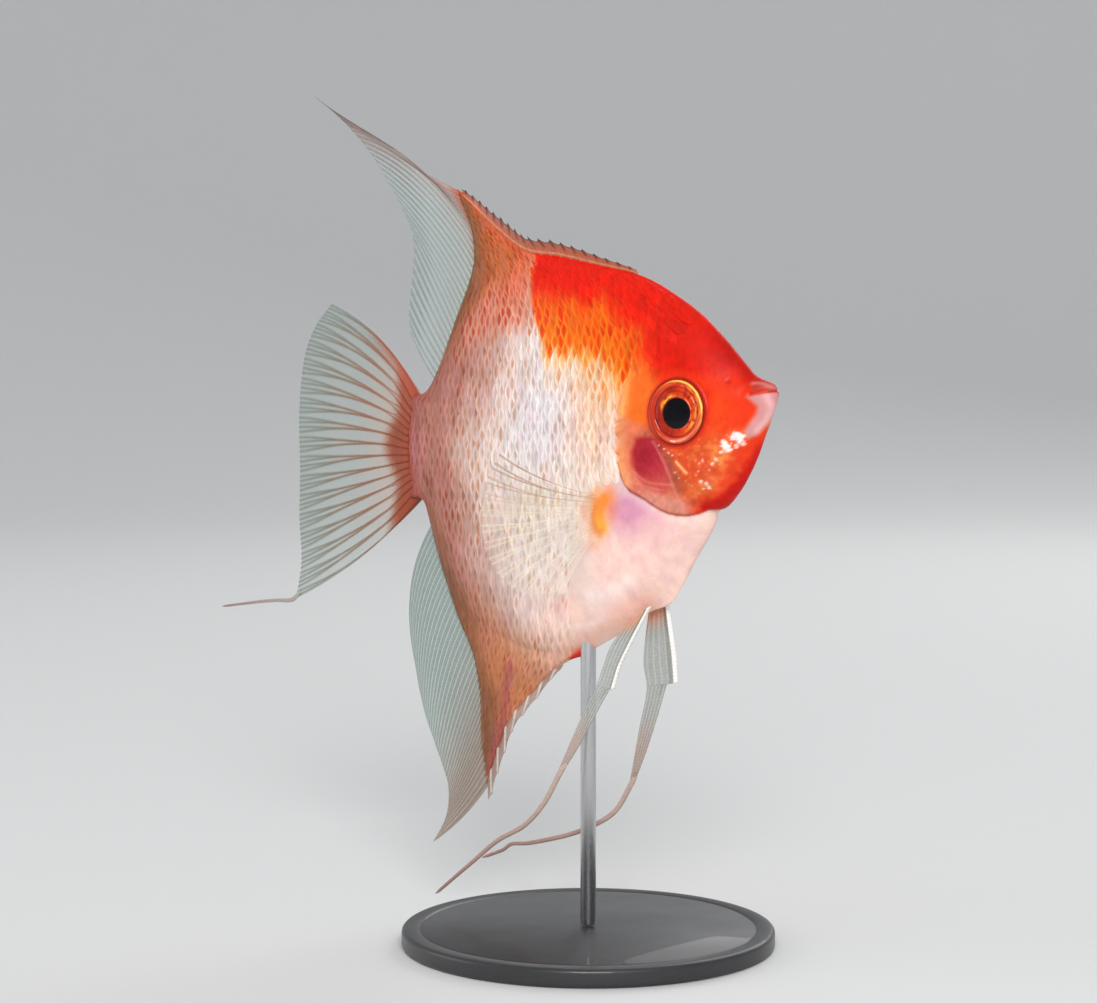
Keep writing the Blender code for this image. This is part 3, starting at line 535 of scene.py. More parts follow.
    # Painted shade: dark red along the mouth slit, darker still at its front, for the shadow between lip and
    # jaw.
    lay(line(2, *MOUTH_SLIT) * 0.9, 0xB01A28)
    lay(line(2.2, *MOUTH_SLIT[:6]) * 0.6, 0x60181C)
    lay(blob(*NOSTRIL, 4.2, 3.6) * 0.35, 0x8C100A)

    # Silvery guanine patches, painted near white with the glint they show in light, and silvery and cream
    # specks.
    for patch in SILVER_GLINT_PATCHES:
        lay(area(patch, u, w, 0.03) * 0.55, 0xFAA678)
        # Painted glint: near white inside each patch, with darker mottles.
        painted_glint = area(patch, u + 0.012 * speckle, w + 0.01 * mottle, 0.005)
        lay(painted_glint * 0.95, 0xFFF6F4)
        lay(painted_glint * ramp(-speckle - 0.08, 0.16) * 0.6, 0xD6ACB8)
    for x, y, size in CHEEK_SPECKS:
        speck = ramp(1.4 - np.hypot(u - x, w - y) / size + 1.3 * speckle, 0.9)
        lay(speck * min(0.95, 0.55 + 60 * size), 0xFAECE8)
    lay(line(3, 196, -144, 187, -154, 175, -167) * 0.85, 0xF6CE8C)

    # Fine weave of tiny scales, and the orbit.
    weave = 0.6 * at.grain(5, 9, 8) + 0.4 * at.grain(12, 20, 9)
    at.coat[:, :6] *= (1 + 0.15 * weave * head * ramp(u - 0.03, 0.05))[:, None]
    from_eye = eye_distance(u, w)
    lay(bell(from_eye - 1.02, 0.032) * 0.9, 0x8C120A)
    lay(bell(from_eye - 1.09, 0.05) * 0.4, 0xCE200E)
    lay(ramp(1 - from_eye, 0.1), 0x78140A)


def relief(u, w):
    """How far the skin rises over its smooth shape, in metres."""
    at = Chart(u, w)
    blob, line = at.blob, at.line
    from_eye, from_margin = eye_distance(u, w), distance_to(knots(*GILL_MARGIN), u, w)
    head = area(HEAD, u, w, 0.007)
    fade = ramp(0.03 - w, 0.1)
    rise = (  # in millimetres
        # Lips, jaw and nostril.
        0.16 * line(10, *UPPER_LIP) + 0.26 * area(JAW_BAND, u, w, 0.02) - 0.08 * line(5.5, *JAW_GROOVE)
        - 0.26 * line(2.8, *MOUTH_SLIT) - 0.06 * line(5, 4, 25, 28, 28, 55, 18, 66, -2)
        + 0.05 * blob(*NOSTRIL, 9, 8) - 0.25 * blob(*NOSTRIL, 3.8, 3.4)
        # Eye socket with its raised rim.
        - 1.3 * ramp(0.99 - from_eye, 0.22) + 0.14 * bell(from_eye - 1.04, 0.04)
        - 0.06 * bell(from_eye - 1.12, 0.05)
        # Gill cover: its margin stands over the body behind, and furrows cross it.
        + 0.3 * fade * head * bell(from_margin, 0.05) - 0.22 * fade * (1 - head) * bell(from_margin, 0.012)
        - 0.14 * head * line(9, 231, -108, 217, -132, 203, -160, 194, -184, 184, -210, 172, -242)
        - 0.1 * area(GILL_PATCH, u, w, 0.03)
        + 0.07 * head * blob(150, -150, 80, 80) * at.grain(6, 7, 4)
        # Foot of the breast fin, vent and soft folds of the breast.
        + 0.4 * blob(378, -257, 18, 46, 6) + 0.3 * blob(486, -568, 20, 10, -22)
        - 0.1 * line(18, 300, -412, 350, -450, 405, -468, 450, -462)
        - 0.08 * line(16, 392, -300, 398, -340, 420, -370)
        + 0.06 * at.grain(30, 40, 5) * ramp(0.5 - u, 0.1)
    )
    for ridge, width, depth in GILL_RIDGES:
        rise += 0.18 * depth * head * line(width, *ridge)
    for x, y, size in CHEEK_SPECKS:
        rise += 8 * size * smooth(1.6 - np.hypot(u - x, w - y) / size)
    return rise / 1000


# ---- Blender


def quads(rows, columns, ring=False, first=0):
    """Corner indices of the squares between a grid's points: this one, next row, both next, next column."""
    index = first + np.arange(rows * columns).reshape(rows, columns)
    after = np.roll(index, -1, axis=1)
    corners = np.stack([index[:-1], index[1:], after[1:], after[:-1]], axis=-1)
    return corners[:, : columns if ring else -1].reshape(-1, 4)


def tube(rings, sides):
    """Faces of a closed tube of rings."""
    faces = quads(rings, sides, ring=True)[:, [0, 3, 2, 1]].tolist()
    last = (rings - 1) * sides
    return faces + [list(range(sides))[::-1], list(range(last, last + sides))]


def new_mesh(name, points, faces, tint=None, veil=None, uv=None, uv_name="chart"):
    """A smooth mesh object. tint is a linear colour and veil an opacity for each point."""
    mesh = bpy.data.meshes.new(name)
    mesh.from_pydata(np.asarray(points, float).reshape(-1, 3).tolist(), [], faces)
    mesh.update()
    mesh.shade_smooth()
    if tint is not None:
        colours = np.ones((len(mesh.vertices), 4), np.float32)
        colours[:, :3] = tint
        mesh.attributes.new("tint", "FLOAT_COLOR", "POINT").data.foreach_set("color", colours.ravel())
    if veil is not None:
        veil = np.ascontiguousarray(veil, np.float32)
        mesh.attributes.new("veil", "FLOAT", "POINT").data.foreach_set("value", veil)
    if uv is not None:
        loops = np.empty(len(mesh.loops), np.int32)
        mesh.loops.foreach_get("vertex_index", loops)
        mesh.uv_layers.new(name=uv_name).data.foreach_set("uv", np.asarray(uv, np.float32)[loops].ravel())
    obj = bpy.data.objects.new(name, mesh)
    bpy.context.scene.collection.objects.link(obj)
    return obj


def finish_piece(obj, material, slot, *nodes):
    obj.data.materials.append(material)
    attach(obj, "root")
    if nodes:
        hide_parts(*nodes)


class Shader:
    """A node material with a principled shader and short ways to add to it."""

    def __init__(self, name, **values):
        self.material = bpy.data.materials.new(name)
        self.material.use_nodes = True
        self.tree = self.material.node_tree
        self.principled = self.tree.nodes["Principled BSDF"]
        self.set(**values)

    def fill(self, node, values):
        """Sets sockets and properties of a node; another node's output is linked to the socket."""
        for key, value in values.items():
            socket = node.inputs.get(key.replace("_", " "))
            if isinstance(value, bpy.types.NodeSocket):
                self.tree.links.new(value, socket)
            elif socket:
                socket.default_value = value
            else:
                setattr(node, key, value)

    def set(self, **values):
        self.fill(self.principled, values)

    def node(self, kind, output, **values):
        """The output of a new node."""
        made = self.tree.nodes.new("ShaderNode" + kind)
        self.fill(made, values)
        return made.outputs[output]

    def noise(self, scale, detail=3.0, roughness=0.5, stretch=(1, 1, 1)):
        """Noise over the object's own coordinates, in metres."""
        where = self.node("Mapping", "Vector", Vector=self.node("TexCoord", "Object"), Scale=stretch)
        return self.node("TexNoise", "Fac", Vector=where, Scale=scale, Detail=detail, Roughness=roughness)

    def ranged(self, value, to_low, to_high, low=0.3, high=0.7):
        return self.node("MapRange", "Result", Value=value, From_Min=low, From_Max=high, To_Min=to_low,
                         To_Max=to_high)

    def math(self, operation, a, b):
        made = self.tree.nodes.new("ShaderNodeMath")
        made.operation = operation
        self.tree.links.new(a, made.inputs[0])
        self.tree.links.new(b, made.inputs[1])
        return made.outputs["Value"]

    def bump(self, height, distance):
        self.set(Normal=self.node("Bump", "Normal", Height=height, Distance=distance, Strength=1.0))

    def tint(self, shade):
        """The base colour is the tint attribute times a number that varies over the surface."""
        tint = self.node("Attribute", "Color", attribute_name="tint")
        self.set(Base_Color=self.node("VectorMath", "Vector", operation="SCALE", Vector=tint, Scale=shade))


def tinted_shader(name, grain, grain_depth, low_rough, high_rough, **values):
    """Painted from the tint attribute, with fine grain in its colour, bump and gloss."""
    shader = Shader(name, **values)
    fine, broad = shader.noise(grain, 4.0), shader.noise(grain / 9)
    shader.tint(shader.math("MULTIPLY", shader.ranged(fine, 0.93, 1.06), shader.ranged(broad, 0.95, 1.05)))
    shader.set(Roughness=shader.ranged(broad, low_rough, high_rough))
    shader.bump(fine, grain_depth)
    return shader.material


SKIN_GLOSS = {"Specular_IOR_Level": 0.14, "Coat_Weight": 0.05, "Coat_Roughness": 0.15}


# ---- skin


def skin():
    """One closed skin over the whole body, fine enough to carry the relief of the head."""
    rim = outline((0.0045, 0.006, 0.006, 0.006, 0.005, 0.003))
    shares = np.concatenate([
        np.linspace(0.05, 0.4, 11), np.linspace(0.4, 0.93, 96)[1:],
        0.93 + 0.07 * np.sin(np.linspace(0, math.pi / 2, 15)[1:-1])])
    around, rings = len(rim), len(shares)
    u, w = (middle + (edge - middle) * shares[:, None] for middle, edge in zip(HUB, rim.T))
    share = np.broadcast_to(shares[:, None], u.shape)
    chart, points = [], []
    for side in SIDES.values():
        chart += [np.array([HUB]), np.stack([u, w], axis=-1).reshape(-1, 2)]
        points += [place(*HUB, side * half_thickness(*HUB))[None],
                   place(u, w, side * half_thickness(u, w, share)).reshape(-1, 3)]
    chart, points = np.vstack([*chart, rim]), np.vstack([*points, place(*rim.T)])

    faces = []
    per_side = 1 + around * rings
    k = np.arange(around)
    after = np.roll(k, -1)
    edge = 2 * per_side
    for base, order in ((0, 1), (per_side, -1)):
        low = base + 1 + (rings - 1) * around
        for strip in (
            np.stack([np.full(around, base), base + 1 + k, base + 1 + after], axis=1),
            quads(rings, around, ring=True, first=base + 1),
            np.stack([low + k, edge + k, edge + after, low + after], axis=1),
        ):
            faces += strip[:, ::order].tolist()

    ground, streak, share = markings(*chart.T)
    obj = new_mesh("skin", points, faces, linear(ground + (streak - ground) * (0.45 * share)[:, None]))
    normals = np.empty(points.size)
    obj.data.vertices.foreach_get("normal", normals)
    raised = points + normals.reshape(-1, 3) * (relief(*chart.T) - COAT_DEPTH)[:, None]
    obj.data.vertices.foreach_set("co", raised.ravel())
    obj.data.update()
    finish_piece(obj, tinted_shader("angelfish skin", 5200, 0.00003, 0.34, 0.48, **SKIN_GLOSS), "white_skin",
                 "head", "lower_jaw", "gill_cover_right", "gill_cover_left", "trunk", "tail_stalk",
                 "dorsal_fin_base", "anal_fin_base")


# ---- scales

COLUMN_AXIS = knots(  # w, u of the column that all others follow
    -900, 765, -750, 705, -600, 645, -400, 595, -150, 575, 100, 590, 220, 635, 320, 715, 440, 840)
COLUMN_SPACING = knots(  # w, distance between columns
    -900, 5.0, -750, 6.4, -600, 8.4, -400, 9.8, -150, 10.4, 80, 10.0, 220, 8.6, 320, 6.8, 440, 5.0)
ROW_SPACING = knots(  # w, distance between the scales of one column
    -900, 18, -750, 27, -600, 40, -450, 52, -300, 48, -100, 44, 80, 44, 180, 35, 300, 26, 440, 18)
COAT_FRONT = knots(  # w, u where the scales begin
    -600, 470, -460, 455, -380, 440, -300, 425, -225, 395, -195, 352, -165, 296, -140, 272, -50, 268,
    10, 258, 70, 225, 140, 170, 190, 130)
COLUMNS = range(-46, 52)
LOWEST_ROW = -0.885
HIGHEST_ROW = 0.43
SCALE_REACH = 2.75  # length of a scale, in column spacings
SCALE_HEIGHT = 1.14  # height of a scale, in row spacings
SCALE_RISE = 0.00017  # of its free edge over its root
SCALE_LIP = 0.00011  # depth of the free edge
SCALE_ALONG = np.array([0.0, 0.28, 0.42, 0.56, 0.7, 0.82, 0.92, 1.0])[None, :, None]
SCALE_ACROSS = np.linspace(-1, 1, 9)[None, None]
SCALE_LIMIT = 0.985  # share of the way to the outline where the coat ends
HEAD_SINK = 0.00016  # how much deeper a scale lies where the gill cover hides it
BAKE_PATCH = 0.003


def by_height(points, w):
    """The value at height w of a smooth line through (w, value) points."""
    fine = curve(points, 200)
    return np.interp(w, fine[:, 0], fine[:, 1])


def column_u(column, w):
    return by_height(COLUMN_AXIS, w) + column * by_height(COLUMN_SPACING, w)


def scale_roots():
    """Chart points of the scales' roots, their columns, and how far the coat covers the skin there."""
    heights = [LOWEST_ROW]
    while heights[-1] < HIGHEST_ROW:
        heights.append(heights[-1] + float(by_height(ROW_SPACING, heights[-1])))
    rows = np.arange(len(heights))
    found = []
    for column in COLUMNS:
        w = np.interp(rows[:-1] + 0.5 * (column % 2), rows, heights)
        found.append(np.stack([column_u(column, w), w, np.full(len(w), float(column))]))
    u, w, column = np.hstack(found)
    cover = ramp(u - by_height(COAT_FRONT, w), 0.05)
    keep = (cover > 0.05) & (rim_share(u + 0.008, w) < SCALE_LIMIT) & (u < 1.005)
    return (values[keep][:, None, None] for values in (u, w, column, cover))


def scales(name, side):
    """A coat of overlapping scales. Arrays run over the scales, along each one and across it."""
    u0, w0, column, cover = scale_roots()
    count = u0.shape
    rng = np.random.default_rng(11 + side)
    along, across = SCALE_ALONG, SCALE_ACROSS
    step = 0.01
    lean = (column_u(column, w0 + step) - column_u(column, w0 - step)) / (2 * step)
    size = rng.uniform(0.93, 1.07, count) * (0.72 + 0.28 * cover)
    reach = by_height(COLUMN_SPACING, w0) * SCALE_REACH * size
    half_height = by_height(ROW_SPACING, w0) * SCALE_HEIGHT / 2 * size
    up = half_height * across * (0.72 + 0.28 * np.sin(math.pi * unit(along * 0.9)))
    u = u0 + reach * along * (1 - 0.34 * across**2) + lean * up + rng.normal(0, 0.0008, count)
    w = w0 + up + rng.normal(0, 0.0026, count)
    rise = SCALE_RISE * (0.35 + 0.65 * cover) * rng.uniform(0.85, 1.15, count)
    dome = 0.00003 * (1 - across**2) * np.sin(math.pi * along)
    lift = (-COAT_DEPTH + 0.00002 + rise * along**1.1 + dome - 0.00009 * (1 - cover)
            - 0.00003 * across**2 * (1 - along))
    u = np.concatenate([u, u[:, -1:] - 0.05 * reach], axis=1)
    w = np.concatenate([w, w[:, -1:]], axis=1)
    lift = np.concatenate([lift, lift[:, -1:] - SCALE_LIP], axis=1)
    inward = np.minimum(1, SCALE_LIMIT / np.maximum(rim_share(u, w), 0.1))
    u, w = HUB[0] + (u - HUB[0]) * inward, HUB[1] + (w - HUB[1]) * inward
    lift = lift - HEAD_SINK * area(HEAD, u, w, 0.006) * ramp(0.06 - w, 0.05)

    # Colour: streak pigment where a scale comes out from under the one before it, and a painted highlight
    # that makes the free edge pale.
    def marked(u, w):
        return [part.reshape(*u.shape, -1) for part in markings(u.ravel(), w.ravel())]

    whole = marked(u0 + 0.75 * reach, w0 + rng.normal(0, 0.003, count))
    ground, streak, share = ((a + b) / 2 for a, b in zip(whole, marked(u, w)))
    share = share[..., 0]
    at = np.append(along, along[:, -1:], axis=1)
    band = bell(at - rng.normal(0.61, 0.06, count), 0.09 + 0.14 * share**2)
    band = band * bell(across - rng.normal(0, 0.22, count), 0.34 + 0.75 * share**2)
    threads = noise(u, w, 4.5, 30, 33)
    strength = 0.42 + noise(u0, w0, 20, 50, 31) * rng.gamma(3.0, 0.36, count)
    amount = unit(band * strength * (0.35 + 0.65 * share) * (0.6 + 1.2 * threads))
    colour = mix(ground, streak, amount)
    # Painted highlight: each scale's free edge is lightened in short upright dashes, in place of the gleam of
    # light on its rim.
    edge = ramp(at - 0.8, 0.14) * bell(across - rng.normal(0, 0.25, count), 0.55)
    edge = edge * (0.25 + 0.75 * share) * rng.uniform(0.2, 1.0, count)
    colour = mix(colour, np.minimum(ground * 1.05 + 12, 255), edge)
    colour *= (rng.normal(1.0, 0.022, count) * (0.94 + 0.12 * threads))[..., None]

    # Each scale is a small patch at its root's place on the skin's own flattened shape.
    root = np.stack([(u0 - 0.1) / 1.5 + 0.05, (w0 + 0.95) / 1.5 + 0.05], axis=-1)
    uv = root + np.stack(np.broadcast_arrays(at - 0.5, across / 2), axis=-1) * BAKE_PATCH
    per_scale = u[0].size
    quad = quads(*u[0].shape)[:, [0, 3, 2, 1]][:, ::-side]
    faces = (quad[None] + (np.arange(len(u)) * per_scale)[:, None, None]).reshape(-1, 4).tolist()
    return new_mesh(name, surface(u, w, side, lift), faces, linear(np.clip(colour, 0, 255)).reshape(-1, 3),
                    uv=uv.reshape(-1, 2), uv_name="OFBake")


def scale_coats():
    material = tinted_shader("pearly scales", 9000, 0.000012, 0.32, 0.46, **SKIN_GLOSS)
    for name, side in SIDES.items():
        finish_piece(scales(f"scales_{name}", side), material, "white_skin")


# ---- eyes

PUPIL = 0.47  # radius, as a share of the eye's
IRIS = 0.76
EYE_EDGE = 1.04
EYE_DOME = 0.001
EYE_DEPTH = 0.00045  # of the eye's rim in its socket
PUPIL_SHIFT = (0.13, -0.095)  # forward and up, as shares of the eye's radii


def eye_colour(r, angle):
    """Colour of the eye at share r of its radius and an angle in degrees, 0 forward and 90 up."""
    colour = np.tile(rgb(0xBE2610), (len(r), 1))

    def over(amount, target):
        colour[:] = mix(colour, target, unit(amount))

    def toward(centre, width):
        return bell((angle - centre + 180) % 360 - 180, width)

    def ring(radius, width):
        return bell(r - radius, width)

    def streaks(count, high, seed):
        return noise(angle / 360 * count, r, 1000, high, seed)

    def speckled(start, width=0.2):
        return smooth((flecks - start) / width)

    fibres, flecks, patches = streaks(46, 350, 21), streaks(38, 50, 22), streaks(14, 120, 23)
    over((fibres - 0.45) * 1.3, 0xDE4618)
    over((0.4 - fibres) * 1.8, 0x82140C)
    over(toward(185, 75) * 0.6, 0x84160C)
    over(ring(0.56, 0.07) * (toward(138, 34) * 1.2 + toward(35, 30) * 0.5) * ramp(patches - 0.2, 0.3),
         0xF28C1E)
    over(ring(0.53, 0.03) * toward(132, 36) * speckled(0.15, 0.3), 0xFFC846)
    over(ring(0.505, 0.018) * (toward(30, 40) + toward(-35, 25)) * speckled(0.2) * 0.8, 0xFCBE8C)
    over(ring(0.66, 0.08) * toward(-25, 34) * speckled(0.25, 0.25), 0xF8A032)
    over(ring(0.7, 0.06) * toward(12, 40) * speckled(0.35) * 0.8, 0xF6963C)
    over(ring(0.64, 0.012) * toward(95, 50) * 0.6, 0x78100A)
    # Painted shade: a dark line round the iris, weaker towards the upper front.
    over(ring(IRIS, 0.016) * (0.65 - 0.5 * toward(30, 70)), 0x6E100A)
    outer = ramp(r - IRIS - 0.01, 0.03)
    over(outer, 0xCE361A)
    over(outer * toward(180, 60) * 0.6, 0xB82C1A)
    over(outer * (toward(60, 60) + toward(0, 30)) * 0.7 * speckled(0.3, 0.3), 0xF48C2C)
    # Painted highlights: bright yellow and yellow white arcs over the golden orange of the upper front rim.
    over(ring(0.925, 0.024) * (toward(72, 44) + toward(20, 34)) * 1.3, 0xFFD05C)
    over(ring(0.9, 0.045) * toward(12, 26) * speckled(0.35), 0xFFE282)
    over(ring(0.87, 0.03) * toward(10, 34) * speckled(0.5), 0xC85014)
    over(ring(0.875, 0.06) * (toward(-80, 40) + 0.4 * toward(-30, 25)) * (0.6 + 0.5 * patches), 0xEA967A)
    # Painted highlight: a pale stroke on the peach arc of the lower rim.
    over(ring(0.89, 0.02) * toward(-95, 30) * speckled(0.3), 0xFFE2D6)
    over(ramp(r - 0.955, 0.025), 0x600C08)
    over(1 - ramp(r - PUPIL + 0.012, 0.018), 0x050508)
    return linear(colour)


def eye(name, side):
    """The eyeball's visible dome: black pupil, streaked iris and outer ring under one glossy surface."""
    around, rings = 144, 60
    r = np.linspace(0, EYE_EDGE, rings)[1:, None]
    angle = circle(around)[None]
    r, angle = np.broadcast_arrays(r, angle)
    r, angle = (np.append(0.0, values) for values in (r, angle))
    inward = 1 - ramp(r, 0.9)
    forward = -r * np.cos(angle) * (1 + 0.13 * inward) - PUPIL_SHIFT[0] * inward
    up = r * np.sin(angle) + PUPIL_SHIFT[1] * inward
    height = EYE_DOME * (1 - (r / EYE_EDGE) ** 2) - EYE_DEPTH - 0.0006 * ramp(r - 0.97, 0.07)
    height = height + 0.00022 * bell(r - 0.9, 0.07) - 0.00016 * bell(r - IRIS, 0.03)

    step = 0.03
    u, w = EYE_CHART
    centre, back, front, top, bottom = (
        surface(np.array(u + du), np.array(w + dw), side)
        for du, dw in ((0, 0), (step, 0), (-step, 0), (0, step), (0, -step)))
    along = direction(back - front)
    out = direction(side * np.cross(along, top - bottom))
    rise = np.cross(out, along) * side
    points = (centre + (forward * EYE_RADIUS[0])[:, None] * along + (up * EYE_RADIUS[1])[:, None] * rise
              + height[:, None] * out)
    k = np.arange(around)
    faces = np.stack([0 * k, 1 + k, 1 + np.roll(k, -1)], axis=1)[:, ::-side].tolist()
    faces += quads(rings - 1, around, ring=True, first=1)[:, ::-side].tolist()
    return new_mesh(name, points, faces, eye_colour(r, np.degrees(angle)))


def eyes():
    material = tinted_shader("glass eye", 6000, 0.00001, 0.3, 0.36, Specular_IOR_Level=0.04, Coat_Weight=1.0,
                             Coat_Roughness=0.02, Coat_IOR=1.26)
    for name, side in SIDES.items():
        finish_piece(eye(f"glass_eye_{name}", side), material, "eye", f"eye_{name}")


# ---- fins

FIN_WAVE = 0.0006
WEB_HALF = 0.00009
RAY_HALF = 0.00024


def plate(name, chart, v, half, tint, veil, uv):
    """A thin closed sheet from grids of chart points, half thicknesses, colours, opacities and UV points."""
    u, w = chart[..., 0], chart[..., 1]
    points = np.vstack([place(u, w, v - half).reshape(-1, 3), place(u, w, v + half).reshape(-1, 3)])
    index = np.arange(u.size).reshape(u.shape)
    border = np.concatenate([index[:, 0], index[-1, 1:], index[-2::-1, -1], index[0, -2:0:-1]])
    after = np.roll(border, -1)
    quad = quads(*u.shape)
    walls = np.stack([after, border, border + u.size, after + u.size], axis=1)
    faces = np.vstack([quad, quad[:, ::-1] + u.size, walls]).tolist()
    uv = np.stack(np.broadcast_arrays(*uv), axis=-1)
    veil = unit(veil) + 0 * u
    tint, veil, uv = (np.concatenate([grid.reshape(-1, *grid.shape[2:])] * 2) for grid in (tint, veil, uv))
    return new_mesh(name, points, faces, linear(tint), veil, uv)


def ridges(phase, s, forks, width):
    """1 on the rays and 0 on the web. phase counts rays, and all fork at each (start, spread) in forks."""
    offset = np.mod(phase + 0.5, 1.0) - 0.5
    branches = [0.0 * s]
    for start, spread in forks:
        apart = spread * smooth((s - start) / (1.02 - start)) ** 0.8
        branches = [b + sign * apart for b in branches for sign in (-1, 1)]
    return bell(np.min([np.abs(offset - b) for b in branches], axis=0), width)


def wave(u, w, t, s):
    return FIN_WAVE * np.sin(2.4 * math.pi * t + 1.0) * s**2


def fan(name, root, tip, rays, bow, look, forks, width, notch, per_ray, lift=wave, ray_half=RAY_HALF,
        web_half=WEB_HALF, flesh=(0.0, 0.1)):
    """A fin whose rays run from the root curve to the tip curve, t across them and s along them.

    look(t, s, ridge) gives colour and opacity. bow is how far the rays arch sideways, as a share of their
    length. flesh is how much thicker each half is at the root, and the share of the ray where that ends.
    """
    columns, rows = (rays - 1) * per_ray + 1, 90
    t, s = steps(columns)[:, None], steps(rows)[None]
    phase = t * (rays - 1)
    ridge, edge = ridges(phase, s, forks, width), ridges(phase, np.ones_like(s), forks, width)
    start = curve(root, columns)[:, None]
    reach = curve(tip, columns)[:, None] - start
    bend = np.interp(t, steps(len(bow)), bow)[..., None]
    along = (s * (1 - notch * (1 - edge)))[..., None]
    sideways = np.stack([-reach[..., 1], reach[..., 0]], axis=-1) * bend
    chart = start + reach * along + sideways * 4 * along * (1 - along)
    v = lift(chart[..., 0], chart[..., 1], t, s)
    half = web_half + np.maximum(ray_half * (1.5 - s) * 0.8 - web_half, 0) * ridge
    half = half + flesh[0] * smooth(1 - s / flesh[1]) * np.sqrt(unit(1 - (2 * t - 1) ** 4))
    half = np.where((s == 1) | (t == 0) | (t == 1), web_half / 2, half)
    return plate(name, chart, v, half, *look(t, s, ridge), (phase, s))


def fin_shader():
    """Thin fin: colour and opacity from attributes, with the fine joints of the rays across them."""
    shader = Shader("fin membrane", Specular_IOR_Level=0.2, Coat_Weight=0.05, Coat_Roughness=0.2)
    joints = shader.node("TexWave", "Fac", Scale=16.0, Distortion=0.6, bands_direction="Y",
                         Vector=shader.node("UVMap", "UV", uv_map="chart"))
    grain = shader.noise(3500, 4.0)
    shade = shader.math("MULTIPLY", shader.ranged(joints, 0.93, 1.04, 0, 1), shader.ranged(grain, 0.92, 1.06))
    shader.tint(shade)
    veil = shader.node("Attribute", "Fac", attribute_name="veil")
    shader.set(Alpha=shader.math("MULTIPLY", veil, shader.ranged(grain, 0.92, 1.04)),
               Roughness=shader.ranged(grain, 0.28, 0.45))
    shader.bump(shader.math("ADD", joints, grain), 0.00002)
    return shader.material


def dorsal_look(t, s, ridge):
    base = ramp(0.12 - s, 0.12)
    front = ramp(0.5 - t, 0.45)
    tip = ramp(s - 0.45, 0.5) * front
    web = mix(mix(0xBED2CC, 0xCEB0AA, front), 0x9C8A88, tip)
    ray = mix(mix(0x54625C, 0xAA867E, front), 0x78605C, tip)
    ray = mix(ray, 0x684E28, ramp(0.35 - s, 0.35) * (1 - front))
    tint = mix(mix(web, ray, ridge), 0xC45434, base * front)
    return tint, 0.16 + 0.46 * front + 0.22 * tip + (0.66 - 0.22 * s) * ridge * (1 - 0.4 * front) + 0.4 * base


def anal_look(t, s, ridge):
    base = ramp(0.06 - s, 0.06)
    low = ramp(t - 0.3, 0.6)
    web = mix(0x7A8E88, 0x9E8476, low * 0.8)
    tint = mix(web, mix(0xCED8D2, 0xCEBCAC, low), ridge * 0.8)
    return mix(tint, 0x96683E, base), 0.46 + 0.18 * low + 0.3 * ridge + 0.35 * base


def caudal_look(t, s, ridge):
    flesh = ramp(0.27 - s + 0.05 * np.cos(4 * math.pi * t), 0.16)
    warm = ramp(0.95 - s, 0.55) * (1 - 0.35 * ramp(t - 0.8, 0.2))
    edge = ramp(0.1 - t, 0.1)
    web = mix(0x96A8A0, 0xCE9C7A, warm * ramp(0.6 - s, 0.5))
    tint = mix(web, mix(0x768074, 0x92481C, warm), ridge)
    tint = mix(tint, mix(0xA04A2C, 0x843212, ridge), flesh)
    tint = mix(tint, 0xB2523C, edge * ramp(0.75 - s, 0.5) * 0.8)
    return tint, (0.18 + 0.06 * s + (0.8 - 0.5 * s) * ridge + 0.8 * flesh
                  + 0.5 * edge * ramp(0.9 - s, 0.6))


def median_fins(material):
    obj = fan("dorsal_fin_rays", knots(826, 420, 796, 358, 779, 300, 790, 238, 830, 155, 910, 0),
              knots(1363, 660, 1300, 624, 1230, 582, 1160, 535, 1105, 488, 1062, 440, 1027, 395, 998, 345,
                    992, 300, 1000, 255, 1012, 200, 1018, 155, 1010, 112),
              31, (-0.02, 0.09, 0.05, 0.0, -0.02), dorsal_look, ((0.5, 0.17),), 0.08, 0.008, 12)
    finish_piece(obj, material, "fin", "dorsal_fin", "dorsal_streamer")
    obj = fan("anal_fin_rays",
              knots(920, -300, 876, -420, 828, -520, 778, -610, 761, -720, 757, -800, 742, -868),
              knots(996, -640, 985, -690, 958, -745, 920, -797, 890, -850, 876, -900, 892, -965, 938, -1032),
              38, (0.145, -0.05), anal_look, ((0.55, 0.18),), 0.15, 0.006, 9)
    finish_piece(obj, material, "fin", "anal_fin")
    obj = fan("caudal_fin_rays", knots(965, -34, 985, -95, 988, -144, 985, -195, 965, -256),
              knots(1300, 178, 1360, 130, 1400, 60, 1411, -50, 1408, -200, 1424, -330, 1425, -430,
                    1445, -520),
              17, (0.08, -0.04), caudal_look, ((0.26, 0.24), (0.64, 0.12)), 0.07, 0.006, 20,
              ray_half=0.0003, flesh=(0.0015, 0.28))
    finish_piece(obj, material, "fin", "caudal_fin")


def pectoral_look(t, s, ridge):
    base = ramp(0.1 - s, 0.08)
    top = ramp(0.4 - t, 0.4)
    ray = mix(0xFAEACE, 0x92583A, top)
    ray = mix(ray, 0xE88C42, ramp(0.26 - s, 0.26))
    tint = mix(mix(0xFCF0DC, ray, ridge), 0xFAA03E, base)
    return tint, 0.05 + (0.44 + 0.3 * top) * ridge * (1 - 0.4 * s) + 0.95 * base


